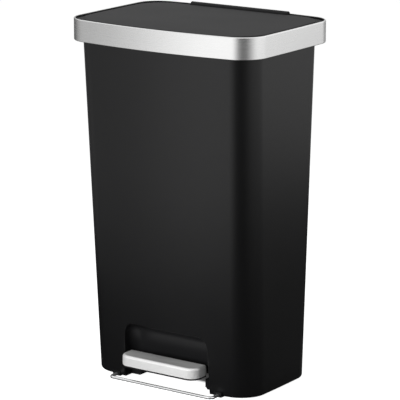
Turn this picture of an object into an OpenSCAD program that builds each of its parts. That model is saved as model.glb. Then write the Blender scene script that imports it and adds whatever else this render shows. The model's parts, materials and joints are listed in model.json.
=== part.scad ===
// Pedal trash can: tapered plastic body, steel-banded rim, inset hinged lid,
// and a pedal lever that lifts a push rod behind the body to open the lid.
// Millimetres, +Z up, -Y is the pedal side. The origin is the centre of the
// footprint of the whole can, on the floor.

/* [Body] */
// Height of the can to the top of the rim band
can_h = 650; // [560:5:700]
// Width of the body at the underside of the band
body_top_w = 370; // [340:1:400]
// Depth of the body at the underside of the band, at its corners
body_top_d = 233; // [215:1:250]
// Width of the body at the floor
body_base_w = 347; // [330:1:360]
// Depth of the body at the floor, at its corners
body_base_d = 192; // [180:1:205]
// How far the base sits behind the middle of the rim
base_set_back = 5; // [2:0.5:8]
// How far the top of the body sits in front of the middle of the rim
top_set_forward = 2.6; // [1:0.2:5]
// Radius of the upright corners
corner_r = 40; // [34:1:46]
// How far the front face swells out between its corners
front_bow = 18; // [12:0.5:22]
// How far the back face swells out between its corners
back_bow = 9; // [5:0.5:12]
// How far each side face swells out between its corners
side_bow = 1.3; // [0.5:0.1:3]
// Wall of the body shell
wall = 2.5; // [2:0.1:3.2]
// Height of the inner floor that the bag stands on
floor_z = 68; // [66:1:76]
// Radius of the rounded bottom edge of the body
foot_round = 3.8; // [2:0.2:5]
// Gap between the body's bottom edge and the ground
ground_gap = 1.5; // [1:0.1:2.5]

/* [Rim and band] */
// How far the band stands out past the body on each side
rim_overhang = 13; // [12:0.5:16]
// Height of the steel band
band_h = 39; // [36:0.5:44]
// Sheet thickness of the band
band_t = 0.9; // [0.6:0.1:1.2]
// Width of the band's turned-in lips
band_lip = 2.6; // [2.4:0.1:3]
// Radius of the band's folded edges
band_round = 1.4; // [1:0.1:2]
// Wall of the plastic collar behind the band
collar_t = 2.4; // [2:0.1:2.8]
// Depth of the collar's shelf below the top of the band
shelf_drop = 19.5; // [19:0.5:21]
// Space between the body's inner wall and the bag skirt
bag_gap = 11; // [10:0.5:13]
// How far the bag skirt hangs below the shelf
skirt_drop = 32; // [24:1:40]

/* [Lid] */
// Gap between the lid's edge and the collar all round
lid_gap = 1.2; // [0.9:0.1:1.6]
// Drop of the lid's border below the top of the band
border_drop = 3.4; // [3:0.1:4]
// Height of the raised middle panel above the border
panel_rise = 2.8; // [2:0.1:3]
// Width of the border along the straight sides
border_w = 4.5; // [4:0.5:7]
// Corner radius of the raised middle panel
panel_r = 50; // [42:1:58]
// Wall of the lid mouldings
lid_t = 2.4; // [2:0.1:2.6]
// Depth of the lid's skirt below its border plate
lid_skirt = 9; // [8:0.5:9.5]
// How far the lid opens, in degrees
lid_open = 75; // [65:1:80]

/* [Hinge] */
// Radius of the hinge knuckles
knuckle_r = 6; // [5:0.25:6.5]
// Diameter of the hinge pin
hinge_pin_d = 5; // [4:0.5:6]
// Height of the knuckles' tops above the band
hinge_proud = 5; // [4.5:0.25:6]
// Gap between the knuckles and the collar's wall behind them
hinge_gap = 0.6; // [0.4:0.1:1.5]
// Overall width of the row of knuckles
hinge_w = 208; // [180:2:220]
// Width of each fixed knuckle
fixed_knuckle_w = 30; // [24:1:36]
// Distance between the middles of the two fixed knuckles
fixed_knuckle_pitch = 98; // [84:2:108]
// Side gap between neighbouring knuckles
knuckle_gap = 0.4; // [0.3:0.05:0.6]

/* [Push rod] */
// Diameter of the push rod
rod_d = 6; // [5:0.5:7]
// Distance of the rod's line inside the back face
rod_inset = 16; // [15:0.5:17]
// Inner width of the rod channel in the back wall
channel_w = 34; // [32:1:40]
// Room in the rod channel in front of the rod's line
channel_room = 6; // [5.8:0.1:8]
// Diameter of the cross pins at both ends of the rod
cross_pin_d = 5; // [4:0.5:5.5]
// Width of the cover strip over the channel
cover_w = 58; // [54:1:64]
// Thickness of the cover strip
cover_t = 2; // [1.5:0.1:2.5]

/* [Pedal] */
// Width of the tread
tread_w = 166; // [150:1:168]
// Front edge of the tread, in front of the middle of the rim
tread_front = 136; // [134:0.5:142]
// Depth of the tread from front to back
tread_depth = 40; // [36:1:44]
// Height of the tread's top above the ground
tread_top = 53; // [52.5:0.5:56]
// Height of the steel cap on the tread
cap_h = 19; // [17.5:0.5:19.5]
// Height of the plastic rim that shows below the cap
carrier_rim = 3; // [2.5:0.5:3.5]
// Sheet thickness of the steel cap
cap_t = 0.9; // [0.6:0.1:1.2]
// Width of the rounded edge round the cap's top
cap_edge = 5; // [4:0.5:6]
// Radius of the tread's front corners
tread_r = 20; // [16:0.5:22]
// How far the tread goes down at its middle
tread_travel = 20; // [18:0.5:20.5]
// Gap between the lever arm and the pedal axle above it
axle_gap = 2.1; // [1.6:0.1:3]
// Diameter of the pedal axle
axle_d = 8; // [6:0.5:9]
// Inner width of the cut-out in the base that the pedal works in
bay_w = 140; // [132:1:146]
// Wall of the pressed steel lever parts
lever_t = 2.5; // [2:0.1:3]
// Outer width of the narrow lever arm
arm_w = 24; // [22:1:26]

/* [Toe recess] */
// Half width of the recess at the ground
recess_half_low = 93; // [90:0.5:96]
// Half width of the recess near its top
recess_half_high = 89.5; // [87:0.5:92]
// Height of the recess
recess_h = 104; // [98:1:110]
// Radius of the recess's upper corners
recess_r = 21; // [17:0.5:24]
// Radius of the recess's corners at the ground
recess_low_r = 12; // [8:0.5:16]
// Depth of the recess near its top
recess_depth_high = 33; // [29:0.5:36]
// Depth of the recess at the ground
recess_depth_low = 51; // [47:0.5:54]

/* [Base and stabiliser] */
// Thickness of the base frame's plate
base_t = 3; // [2.5:0.1:3.5]
// Thickness of the rubber feet
foot_h = 3; // [2.8:0.1:3.4]
// Radius of the rubber feet
foot_r = 9; // [7:0.5:11]
// Distance from the middle of the rim to the front of the base's rails
rail_front = 83; // [80:0.5:86]
// Diameter of the stabiliser wire
wire_d = 6; // [5:0.25:6.5]
// Distance of the wire's legs outside the foot of the recess
wire_side = 17.5; // [16.5:0.5:20]
// Reach of the wire's front bar beyond the foot of the body
wire_reach = 15.5; // [14:0.5:18]
// Bend radius of the wire's corners, on its centre line
wire_bend = 8; // [7:0.5:12]

/* [Fits] */
// Gap between parts that are assembled face to face
seat = 0.3; // [0.2:0.05:0.4]
// Radial clearance of pins and shafts in their bores
run = 0.05; // [0.03:0.01:0.08]
// Shank radius of the small screws
screw_r = 1.8; // [1.5:0.1:2.1]
// Head radius of the small screws
screw_head_r = 3.6; // [3:0.1:4]

/* [Hidden] */

$fn = 48;
eps = 0.01;           // overlap of solids that are joined, and reach of cuts past faces
corner_cut = 0.29;    // how far in a rounded edge has come at 0.29 of its height
corner_steps = 8;     // segments in each rounded corner
long_steps = 12;      // segments along the front and the back
short_steps = 4;      // segments along each side

black = "#1d1d1f";
charcoal = "#454547";
steel = "#c8c8c6";
bright = "#dcdddf";
rubber = "#101011";
nylon = "#d8d4c8";

// Levels
band_z = can_h - band_h;                    // underside of the band
shelf_z = can_h - shelf_drop;               // top face of the collar's shelf
body_top = shelf_z - collar_t - seat;       // top edge of the body shell
border_z = can_h - border_drop;             // top face of the lid's border
panel_z = border_z + panel_rise;            // top face of the lid's raised panel
border_low = border_z - lid_t;              // underside of the border plate
skirt_z = border_low - lid_skirt;           // bottom edge of the lid's skirt
base_z = foot_h;                            // underside of the base frame's plate
base_top = base_z + base_t;

// Rim outline
rim_w = body_top_w + 2 * rim_overhang;
rim_d = body_top_d + 2 * rim_overhang;
rim_back = rim_d / 2 + back_bow;            // rearmost point of the band
rim_front = rim_d / 2 + front_bow;          // foremost point of the band

// The whole can is centred front to back on its own footprint
frame_y = (rim_front - rim_back) / 2;

// Sides of the body at a height, as functions of z
function mix(a, b, z) = a + (b - a) * (z - ground_gap) / (band_z - ground_gap);
function body_w(z) = mix(body_base_w, body_top_w, z);
function body_d(z) = mix(body_base_d, body_top_d, z);
function body_y(z) = mix(base_set_back, -top_set_forward, z);
function front_y(z) = body_y(z) - body_d(z) / 2 - front_bow;
function back_y(z) = body_y(z) + body_d(z) / 2 + back_bow;
// The bowed faces at a distance x from the middle plane
function front_at(x, z) = front_y(z) + front_bow * pow(2 * x / body_w(z), 2);
function back_at(x, z) = back_y(z) - back_bow * pow(2 * x / body_w(z), 2);
// The sides, bowed too, at a distance y from the middle of the rim
function side_at(y, z) = body_w(z) / 2 + side_bow * (1 - pow(2 * (y - body_y(z)) / body_d(z), 2));
back_slope = (back_y(band_z) - back_y(0)) / band_z;
back_tilt = atan(back_slope);

// Hinge and crank
band_fit = 0.05;                            // gap between the band and the collar
rim_wall = band_t + band_fit + collar_t;    // from the band's face to the collar's inner face
lid_inset = rim_wall + lid_gap;             // from the band's face to the lid's edge
skirt_inset = 3;                            // from the lid's edge to its skirt
// The bowed back is nearest to the straight hinge line at the ends of its knuckles
hinge_y = rim_d / 2 + back_bow * (1 - pow(hinge_w / rim_w, 2)) - rim_wall - hinge_gap - knuckle_r;
hinge_z = can_h + hinge_proud - knuckle_r;
rod_y0 = back_y(0) - rod_inset;             // rod line where it meets the ground
rod_at_hinge = rod_y0 + back_slope * hinge_z;
crank_half = lid_open / 2;
// The pin swings evenly about the hinge's level, so the rod line bisects its sway
crank_r = (hinge_y - rod_at_hinge) / ((1 + cos(crank_half)) / 2);
crank_y = hinge_y - crank_r * cos(crank_half);
crank_z = hinge_z - crank_r * sin(crank_half);
crank_sway = crank_r * (1 - cos(crank_half));
rod_travel = 2 * crank_r * sin(crank_half);
// The lid turns evenly while the pin's height follows a sine: this is their widest difference
crank_lift_error = 0.018 * crank_r;
channel_depth = rod_inset + channel_room;

// Levels of the pedal's parts, which all lie below the tread
cap_low = tread_top - cap_h;                // lower edge of the steel cap
carrier_low = cap_low - carrier_rim;        // lower face of the plastic carrier
bracket_top = carrier_low - seat;           // top face of the bracket's web
bracket_low = bracket_top - lever_t;
arm_top = bracket_low - seat;               // upper face of the arm under the bracket
arm_low = arm_top - lever_t;
axle_z = arm_top + axle_gap + axle_d / 2;

// Pedal lever: the axle splits tread-to-rod so that the two travels match
tread_mid = tread_front - tread_depth / 2 + 2;
rod_foot_y = rod_y0 + back_slope * (axle_z - rod_travel / 2);
arm_ratio = rod_travel / tread_travel;
axle_y = (rod_foot_y - arm_ratio * tread_mid) / (1 + arm_ratio);
rear_arm = rod_foot_y - axle_y;
foot_pin_z = axle_z - rod_travel / 2;
lever_swing = 2 * atan(rod_travel / 2 / rear_arm);

// Pedal details
bracket_w = bay_w - 18;                     // outer width across the bracket's ears
ear_r = axle_d / 2 + 5;                     // radius of the ears round the axle
bush_r = axle_d / 2 + 2;
bush_flange = 1.6;                          // how far the bush's flange stands out
post_w = 13;                                // width of each axle post
post_r = axle_d / 2 + 5;
slot_play = 1.6;                            // sliding room of each pin along its slot
window_top = axle_z + 7;                    // top of the lever's window in the recess wall
window_gap = 1;                             // room of the window on each side of the bay

// Fasteners
base_boss_r = screw_r + 3.2;                // bosses for the base screws
collar_boss_r = screw_r + 2.6;              // bosses for the collar's screws
collar_boss_h = 24;
pan_h = 1.8;                                // height of a pan head
base_screw_len = 12;
collar_screw_len = 14;
hole_spare = 2;                             // depth of a screw hole past the screw's tip
clamp_w = 16;                               // width of each wire clamp
wire_w = 2 * (recess_half_low + wire_side); // distance between the wire's legs
wire_front = wire_reach - front_y(0);       // from the middle of the rim to the wire's front bar
clamp_back = rail_front - 11;               // rear face of the clamps' front blocks
clamp_tail = 12;                            // length of the clamps' tongues on the base
base_front_y = body_y(0) - body_base_d / 2;
base_back_y = body_y(0) + body_base_d / 2;
base_screw_x = wire_w / 2 + clamp_w / 2 + base_boss_r + 8.5;
mid_screw_x = channel_w / 2 + wall + 38.5;
base_screw_xy = [for (s = [-1, 1]) each [[s * base_screw_x, base_front_y + 25],
    [s * base_screw_x, base_back_y - 29], [s * mid_screw_x, base_back_y - 19]]];
foot_x = body_base_w / 2 - 31.5;
foot_xy = [for (s = [-1, 1]) each [[s * foot_x, base_front_y + 47], [s * foot_x, base_back_y - 39]]];
far = rim_w / 2;                            // how far cuts run past the solids

// ---------- outlines ----------

// Rounded rectangle, counter-clockwise from the front right corner
function rounded(w, d, r) = [for (c = [0:3]) each
    let (sx = (c == 0 || c == 1) ? 1 : -1, sy = (c == 1 || c == 2) ? 1 : -1,
         cx = sx * (w / 2 - r), cy = sy * (d / 2 - r),
         a0 = -90 + 90 * c,
         nx = (c == 0 || c == 3) ? 1 : -1,
         steps = (c == 0 || c == 2) ? short_steps : long_steps,
         last = [cx + r * cos(a0 + 90), cy + r * sin(a0 + 90)],
         next = c == 0 ? [w / 2, d / 2 - r] : c == 1 ? [-(w / 2 - r), d / 2]
              : c == 2 ? [-w / 2, -(d / 2 - r)] : [w / 2 - r, -d / 2])
    concat([for (i = [0:corner_steps]) let (a = a0 + 90 * i / corner_steps)
                [cx + r * cos(a), cy + r * sin(a)]],
           [for (i = [1:steps - 1]) last + (next - last) * i / steps])];

// The same outline with each side swollen by its bow, its middle at [0, y]
function plan(w, d, r, y = 0, front = front_bow, back = back_bow, side = side_bow) =
    [for (p = rounded(w, d, r))
        let (fx = 1 - pow(2 * p[0] / w, 2), fy = 1 - pow(2 * p[1] / d, 2))
        [p[0] * (1 + 2 * side / w * fy),
         y + p[1] * (1 + 2 * (p[1] < 0 ? front : back) / d * fx)]];

function ring(points, z) = [for (p = points) [p[0], p[1], z]];
function body_plan(z, inset = 0) =
    plan(body_w(z) - 2 * inset, body_d(z) - 2 * inset, corner_r - inset, body_y(z));
function rim_plan(inset) = plan(rim_w - 2 * inset, rim_d - 2 * inset, corner_r - inset);

// Closed skin through rings that have the same number of points
module loft(rings) {
    n = len(rings[0]);
    last = len(rings) - 1;
    polyhedron(
        points = [for (r = rings) each r],
        faces = concat(
            [[for (i = [0:n - 1]) i]],
            [[for (i = [n - 1:-1:0]) last * n + i]],
            [for (k = [0:last - 1]) for (i = [0:n - 1])
                let (j = (i + 1) % n, a = k * n + i, b = k * n + j) each
                [[a, b + n, b], [a, a + n, b + n]]]),
        convexity = 8);
}

module prism(points, z0, z1) translate([0, 0, z0]) linear_extrude(z1 - z0) polygon(points);
module box(lo, hi) translate(lo) cube(hi - lo);
module in_frame() translate([0, frame_y, 0]) children();
module along_x(r, x0, x1, y, z)
    translate([x0, y, z]) rotate([0, 90, 0]) cylinder(r = r, h = x1 - x0);
module upright(r, x, y, z0, z1) translate([x, y, z0]) cylinder(r = r, h = z1 - z0);
// A side view drawn as [y, z] points, given a width between two x
module side_view(points, x0, x1)
    translate([x0, 0, 0]) rotate([90, 0, 90]) linear_extrude(x1 - x0) polygon(points);
module slot_outline(r, half) polygon(concat(
    [for (a = [-90:15:90]) [half + r * cos(a), r * sin(a)]],
    [for (a = [90:15:270]) [-half + r * cos(a), r * sin(a)]]));
module both_sides() for (s = [0, 1]) mirror([s, 0, 0]) children();
// A frame that leans with the back face: local z climbs the face, local y = 0 lies on it
module on_back() translate([0, back_y(0), 0]) rotate([-back_tilt, 0, 0]) children();

// Pan head screw, its shank pointing up from the origin and its head below it
module pan_screw(length) {
    translate([0, 0, -pan_h]) cylinder(r1 = screw_head_r * 0.8, r2 = screw_head_r, h = pan_h);
    cylinder(r = screw_r, h = length);
}

// ---------- body ----------

module body_outer() loft([
    ring(body_plan(ground_gap, foot_round), ground_gap),
    ring(body_plan(ground_gap, foot_round * corner_cut), ground_gap + foot_round * corner_cut),
    ring(body_plan(ground_gap + foot_round), ground_gap + foot_round),
    ring(body_plan(body_top), body_top)]);

module body_inner(z0, z1) loft([
    ring(body_plan(z0, wall), z0),
    ring(body_plan(z1, wall), z1)]);

// Space of the toe recess, grown by a wall for its moulding
module recess(grow) {
    high_y = front_y(recess_h) + recess_depth_high;
    low_y = front_y(0) + recess_depth_low;
    r = recess_r + grow;
    low_r = recess_low_r + grow;
    low_x = recess_half_low - recess_low_r;
    hull() both_sides() {
        translate([recess_half_high - recess_r, high_y - recess_r, recess_h - recess_r])
            sphere(r = r, $fn = 32);
        translate([recess_half_high - recess_r, -far, recess_h - recess_r])
            rotate([-90, 0, 0]) cylinder(r = r, h = recess_r, $fn = 32);
        translate([low_x, low_y - recess_low_r, -recess_r]) cylinder(r = low_r, h = 2, $fn = 32);
        translate([low_x, -far, -recess_r]) cylinder(r = low_r, h = 2, $fn = 32);
    }
}

// Screw bosses under the collar's shelf, just inside the body's wall
boss_in = wall + collar_boss_r - 1.2;
boss_end = 61;                              // from the body's front and back corners to the side bosses
boss_front_y = body_y(body_top) - body_d(body_top) / 2 + boss_end;
boss_back_y = body_y(body_top) + body_d(body_top) / 2 - boss_end;
collar_boss_xy = [for (s = [-1, 1]) each let (quarter = body_w(body_top) / 4)
    [[s * (side_at(boss_front_y, body_top) - boss_in), boss_front_y],
     [s * (side_at(boss_back_y, body_top) - boss_in), boss_back_y],
     [s * quarter, front_at(quarter, body_top) + boss_in],
     [s * quarter, back_at(quarter, body_top) - boss_in]]];

module body_shell() color(black) in_frame() difference() {
    union() {
        difference() {
            body_outer();
            body_inner(floor_z, body_top + 1);
            body_inner(-1, floor_z - wall);
        }
        intersection() {
            body_outer();
            union() {
                recess(wall);
                on_back() box([-channel_w / 2 - wall, -channel_depth - wall, floor_z - wall],
                              [channel_w / 2 + wall, 5, can_h]);
                for (p = collar_boss_xy)
                    upright(collar_boss_r, p[0], p[1], body_top - collar_boss_h, body_top);
            }
        }
        for (p = base_screw_xy)
            upright(base_boss_r, p[0], p[1], base_top + seat, floor_z - wall / 2);
    }
    recess(0);
    on_back() box([-channel_w / 2, -channel_depth, floor_z - wall - 1],
                  [channel_w / 2, channel_depth, can_h + far]);
    // Window behind the tread for the lever, and the room of the base's rails below it
    box([-bay_w / 2 - window_gap, -rail_front, -1], [bay_w / 2 + window_gap, axle_y, window_top]);
    box([-rail_out - seat, -rail_front - seat, -1], [rail_out + seat, axle_y, rail_top + seat]);
    both_sides() box([wire_w / 2 - clamp_w / 2 - seat, -far, -1],
                     [wire_w / 2 + clamp_w / 2 + seat, -clamp_back, clamp_top + seat]);
    for (p = base_screw_xy)
        upright(screw_r + run, p[0], p[1], base_z, base_z + base_screw_len + hole_spare);
    for (p = collar_boss_xy)
        upright(screw_r + run, p[0], p[1], body_top - collar_screw_len - hole_spare, body_top + 1);
    cover_screw_holes();
}

// ---------- base ----------

rail_top = axle_z - 13;                     // top of the rails beside the pedal bay
rail_out = recess_half_low - 1.5;           // outer face of the rails
rail_low = ground_gap + 0.5;
rail_wall = 3;
arch_r = 3.5;                               // hollow along the rails' lower inner edge
clamp_top = base_top + 3.5;
bay_back = axle_y + post_r + 6;             // rear edge of the pedal bay
rib_t = 2.5;
rib_top = base_top + 8;
rib_in = bay_w / 2 - 34;                    // ribs along the base, behind and beside the bay
rib_out = bay_w / 2 + 30;
rib_back = base_back_y - 25;
cross_rib_y = (bay_back + rib_back) / 2;

module base_frame() color(black) in_frame() difference() {
    union() {
        difference() {
            prism(body_plan(base_z, wall + seat + foot_round * 0.12), base_z, base_top);
            recess(wall + seat);
        }
        both_sides() {
            // Rail beside the bay, hollow above, with its underside arched towards the bay
            difference() {
                box([bay_w / 2, -rail_front, rail_low], [rail_out, bay_back, rail_top]);
                translate([bay_w / 2, -rail_front - 1, rail_low]) rotate([-90, 0, 0])
                    cylinder(r = arch_r, h = bay_back + rail_front + 2);
                box([bay_w / 2 + post_w, -rail_front + rail_wall, base_top],
                    [rail_out - rail_wall, bay_back - rail_wall, rail_top + 1]);
            }
            // Post that carries the axle
            side_view(concat([[axle_y - post_r - 4, base_z], [axle_y + post_r + 4, base_z]],
                    [for (a = [0:15:180]) [axle_y + post_r * cos(a), axle_z + post_r * sin(a)]]),
                bay_w / 2, bay_w / 2 + post_w);
            // Stiffening ribs
            box([rib_in, bay_back + rib_t, base_top - eps], [rib_in + rib_t, rib_back, rib_top]);
            box([rib_out, base_front_y + 31, base_top - eps], [rib_out + rib_t, rib_back, rib_top]);
            box([arm_w / 2 + 4, cross_rib_y, base_top - eps],
                [rib_out + rib_t, cross_rib_y + rib_t, rib_top]);
        }
    }
    box([-bay_w / 2, -far, -1], [bay_w / 2, bay_back, far]);
    along_x(axle_d / 2 + run, -bay_w, bay_w, axle_y, axle_z);
    both_sides() box([wire_w / 2 - clamp_w / 2 - seat, -far, -1],
                     [wire_w / 2 + clamp_w / 2 + seat, -clamp_back, base_top + 1]);
    for (p = base_screw_xy) upright(screw_r + run, p[0], p[1], -1, base_top + 1);
    both_sides() upright(screw_r + run, wire_w / 2, clamp_screw_y, -1, base_top + 1);
}

module base_screws() color(steel) in_frame()
    for (p = base_screw_xy) translate([p[0], p[1], base_z]) pan_screw(base_screw_len);

foot_bevel = 0.8;
module rubber_feet() color(rubber) in_frame()
    for (p = foot_xy) translate([p[0], p[1], 0]) {
        cylinder(r1 = foot_r - foot_bevel, r2 = foot_r, h = foot_bevel);
        upright(foot_r, 0, 0, foot_bevel - eps, foot_h);
    }

leg_end = clamp_back + 6;                   // rear ends of the wire's legs, inside the clamps
module stabiliser_wire() color(bright) in_frame() {
    r = wire_d / 2;
    x = wire_w / 2;
    along_x(r, -x + wire_bend, x - wire_bend, -wire_front, r);
    both_sides() {
        translate([x, -wire_front + wire_bend, r]) rotate([-90, 0, 0])
            cylinder(r = r, h = wire_front - wire_bend - leg_end);
        translate([x - wire_bend, -wire_front + wire_bend, r]) rotate([0, 0, -90])
            rotate_extrude(angle = 90) translate([wire_bend, 0]) circle(r = r);
    }
}

// Blocks that hold the wire's legs in the notches of the front wall
clamp_screw_y = -clamp_back + clamp_tail / 2;
module wire_clamps() color(black) in_frame() both_sides() difference() {
    x0 = wire_w / 2 - clamp_w / 2;
    x1 = wire_w / 2 + clamp_w / 2;
    union() {
        box([x0, front_at(wire_w / 2, 0) - 3, 0.4], [x1, -clamp_back - seat, clamp_top]);
        box([x0, -clamp_back - seat - eps, base_top + eps], [x1, -clamp_back + clamp_tail, clamp_top]);
    }
    translate([wire_w / 2, -far, wire_d / 2]) rotate([-90, 0, 0])
        cylinder(r = wire_d / 2 + run, h = far - leg_end + 1);
    upright(screw_r + run, wire_w / 2, clamp_screw_y, 0, clamp_top + 1);
}

clip_t = 1.2;
axle_end = 3;                               // how far the axle shows past its posts
module pedal_axle() color(steel) in_frame()
    along_x(axle_d / 2, -bay_w / 2 - post_w - axle_end, bay_w / 2 + post_w + axle_end, axle_y, axle_z);

module axle_clips() color(steel) in_frame() both_sides()
    difference() {
        along_x(axle_d / 2 + 3, bay_w / 2 + post_w + seat, bay_w / 2 + post_w + seat + clip_t,
                axle_y, axle_z);
        along_x(axle_d / 2 + run, 0, far, axle_y, axle_z);
    }

// ---------- rod channel ----------

cover_rib = 5;                              // depth of the cover's ribs into the channel
cover_rib_t = 1.6;
cover_z0 = floor_z - 8;
cover_z1 = band_z - 4;
cover_screw_x = channel_w / 2 + 7.5;
cover_screw_z = [cover_z0 + 12, (cover_z0 + cover_z1) / 2, cover_z1 - 12];
cover_screw_len = cover_t + wall + 3;
guide_h = 14;
guide_z = [for (k = [1, 2]) cover_z0 + k * (cover_z1 - cover_z0) / 3];
rod_back = -rod_inset * cos(back_tilt);     // rod line in the leaning frame

module cover_screw_holes() for (z = cover_screw_z, s = [-1, 1])
    on_back() translate([s * cover_screw_x, cover_t + 1, z]) rotate([90, 0, 0])
        cylinder(r = screw_r + run, h = cover_screw_len + hole_spare);

module rod_guides() color(nylon) in_frame() on_back() for (z = guide_z) difference() {
    box([-channel_w / 2 + seat, -channel_depth + seat, z],
        [channel_w / 2 - seat, -cover_rib - seat, z + guide_h]);
    upright(rod_d / 2 + run, 0, rod_back, z - 1, z + guide_h + 1);
    both_sides() box([rod_d / 2 + 4, rod_back - rod_d / 2, z - 1],
                     [channel_w / 2 - 3, 0, z + guide_h + 1]);
}

module rod_cover() color(black) in_frame() difference() {
    on_back() union() {
        box([-cover_w / 2 + 2, -1, cover_z0], [cover_w / 2 - 2, cover_t, cover_z1]);
        box([-cover_w / 2, -1, cover_z0 + 2], [cover_w / 2, cover_t * 0.5, cover_z1 - 2]);
        both_sides() box([channel_w / 2 - 1 - cover_rib_t, -cover_rib, cover_z0 + 12],
                         [channel_w / 2 - 1, 0, cover_z1 - 8]);
    }
    intersection() {
        loft([ring(body_plan(0, -seat / 2), 0), ring(body_plan(can_h, -seat / 2), can_h)]);
        on_back() union() {
            both_sides() box([channel_w / 2 - 0.5, -channel_depth, 0], [cover_w, channel_depth, can_h]);
            box([-cover_w, -channel_depth, 0], [cover_w, channel_depth, floor_z]);
        }
    }
    cover_screw_holes();
}

module rod_cover_screws() color(steel) in_frame()
    for (z = cover_screw_z, s = [-1, 1]) on_back() translate([s * cover_screw_x, cover_t, z])
        rotate([90, 0, 0]) pan_screw(cover_screw_len);

// ---------- rim ----------

mouth_inset = wall + bag_gap + collar_t;    // from the body's outer face to the mouth
module mouth(grow, z0, z1) difference() {
    prism(body_plan(body_top, mouth_inset - grow), z0, z1);
    box([-well_half - collar_t + grow, well_front - collar_t + grow, z0 - 1],
        [well_half + collar_t - grow, rim_back, z1 + 1]);
}
well_gap = 1;                               // room of the rod well round the body's channel
well_half = channel_w / 2 + wall + well_gap;
well_front = back_y(shelf_z - skirt_drop) - (channel_depth + wall) / cos(back_tilt) - well_gap;

module rim_collar() color(black) in_frame() difference() {
    union() {
        difference() {
            prism(rim_plan(band_t + band_fit), band_z + band_t + band_fit, can_h - band_t - band_fit);
            prism(rim_plan(rim_wall), shelf_z, can_h + 1);
            prism(rim_plan(rim_wall), band_z + band_t + collar_t, shelf_z - collar_t);
            loft([ring(body_plan(band_z - collar_t, -seat), band_z - collar_t),
                  ring(body_plan(shelf_z - collar_t - eps, -seat), shelf_z - collar_t - eps)]);
        }
        difference() {
            mouth(collar_t, shelf_z - skirt_drop, shelf_z - eps);
            box([-well_half, well_front, shelf_z - skirt_drop - 1],
                [well_half, rim_back, shelf_z - collar_t]);
        }
        intersection() {
            prism(rim_plan(band_t + 1), shelf_z - collar_t, shelf_z);
            box([-well_half - collar_t, well_front - collar_t, 0],
                [well_half + collar_t, rim_back + 1, can_h]);
        }
    }
    mouth(0, shelf_z - skirt_drop - 1, can_h);
    // Slot in the shelf for the rod's head and the lugs of the lid's hinge
    box([-lug_x1 - 5, well_front + 1, shelf_z - far], [lug_x1 + 5, hinge_y - 8, shelf_z + 1]);
    for (p = concat(collar_boss_xy, bracket_screw_xy))
        upright(screw_r + run, p[0], p[1], shelf_z - 2 * collar_t, shelf_z + 1);
}

module rim_band() color(steel) in_frame() difference() {
    k = band_round;
    c = k * corner_cut;
    loft([ring(rim_plan(k), band_z), ring(rim_plan(c), band_z + c),
          ring(rim_plan(0), band_z + k), ring(rim_plan(0), can_h - k),
          ring(rim_plan(c), can_h - c), ring(rim_plan(k), can_h)]);
    prism(rim_plan(band_t), band_z + band_t, can_h - band_t);
    prism(rim_plan(band_lip), band_z - 1, can_h + 1);
}

module collar_screws() color(steel) in_frame()
    for (p = collar_boss_xy)
        translate([p[0], p[1], shelf_z]) mirror([0, 0, 1]) pan_screw(collar_screw_len);

bumper_r = 5;
bumper_x = rim_w / 2 - lid_inset - skirt_inset - bumper_r;
bumper_gap = 12;                            // from the side screws to the bumpers beside them
bumper_xy = [for (x = [-bumper_x, bumper_x])
    each [[x, boss_front_y - bumper_gap], [x, boss_back_y + bumper_gap]]];
module lid_bumpers() color(rubber) in_frame()
    for (p = bumper_xy) upright(bumper_r, p[0], p[1], shelf_z, skirt_z - seat);

// ---------- hinge ----------

fixed_x0 = fixed_knuckle_pitch / 2 - fixed_knuckle_w / 2;
fixed_x1 = fixed_knuckle_pitch / 2 + fixed_knuckle_w / 2;
rail_t = 3.6;                               // thickness of the lid's hinge rail
bracket_t = 3;                              // thickness of the hinge bracket's plate and gussets
bracket_reach = 18;                         // how far the plate runs forward of the hinge line
bracket_foot = 4.5;                         // half depth of the knuckle's stem on the plate
gusset_top = border_low - rail_t - 0.8;     // just below the hinge rail
bracket_screw_xy = [for (s = [-1, 1], x = [fixed_x0 + 7, fixed_x1 - 7])
    [s * x, hinge_y - bracket_reach + screw_head_r + 2.4]];

module knuckle(x0, x1) along_x(knuckle_r, x0, x1, hinge_y, hinge_z);

module hinge_bracket() color(black) in_frame() difference() {
    both_sides() {
        box([fixed_x0 - bracket_t, hinge_y - bracket_reach, shelf_z],
            [fixed_x1 + bracket_t, hinge_y + bracket_foot, shelf_z + bracket_t]);
        knuckle(fixed_x0, fixed_x1);
        side_view([[hinge_y - bracket_foot, shelf_z + 2], [hinge_y + bracket_foot, shelf_z + 2],
                   [hinge_y + knuckle_r - 0.8, hinge_z - 2], [hinge_y - knuckle_r + 1.5, hinge_z - 3]],
            fixed_x0, fixed_x1);
        for (x = [fixed_x0, fixed_x1 - bracket_t])
            side_view([[hinge_y - 12, shelf_z + 2], [hinge_y, shelf_z + 2],
                       [hinge_y, gusset_top], [hinge_y - bracket_foot, gusset_top]],
                x, x + bracket_t);
    }
    along_x(hinge_pin_d / 2 + run, -hinge_w, hinge_w, hinge_y, hinge_z);
    for (p = bracket_screw_xy)
        upright(screw_r + run, p[0], p[1], shelf_z - 1, shelf_z + bracket_t + 1);
}

module hinge_bracket_screws() color(steel) in_frame() for (p = bracket_screw_xy)
    translate([p[0], p[1], shelf_z + bracket_t]) mirror([0, 0, 1]) pan_screw(bracket_t + collar_t + 3);

module hinge_pin() color(steel) in_frame()
    along_x(hinge_pin_d / 2, -hinge_w / 2 + 2, hinge_w / 2 - 2, hinge_y, hinge_z);

// ---------- lid ----------

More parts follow.
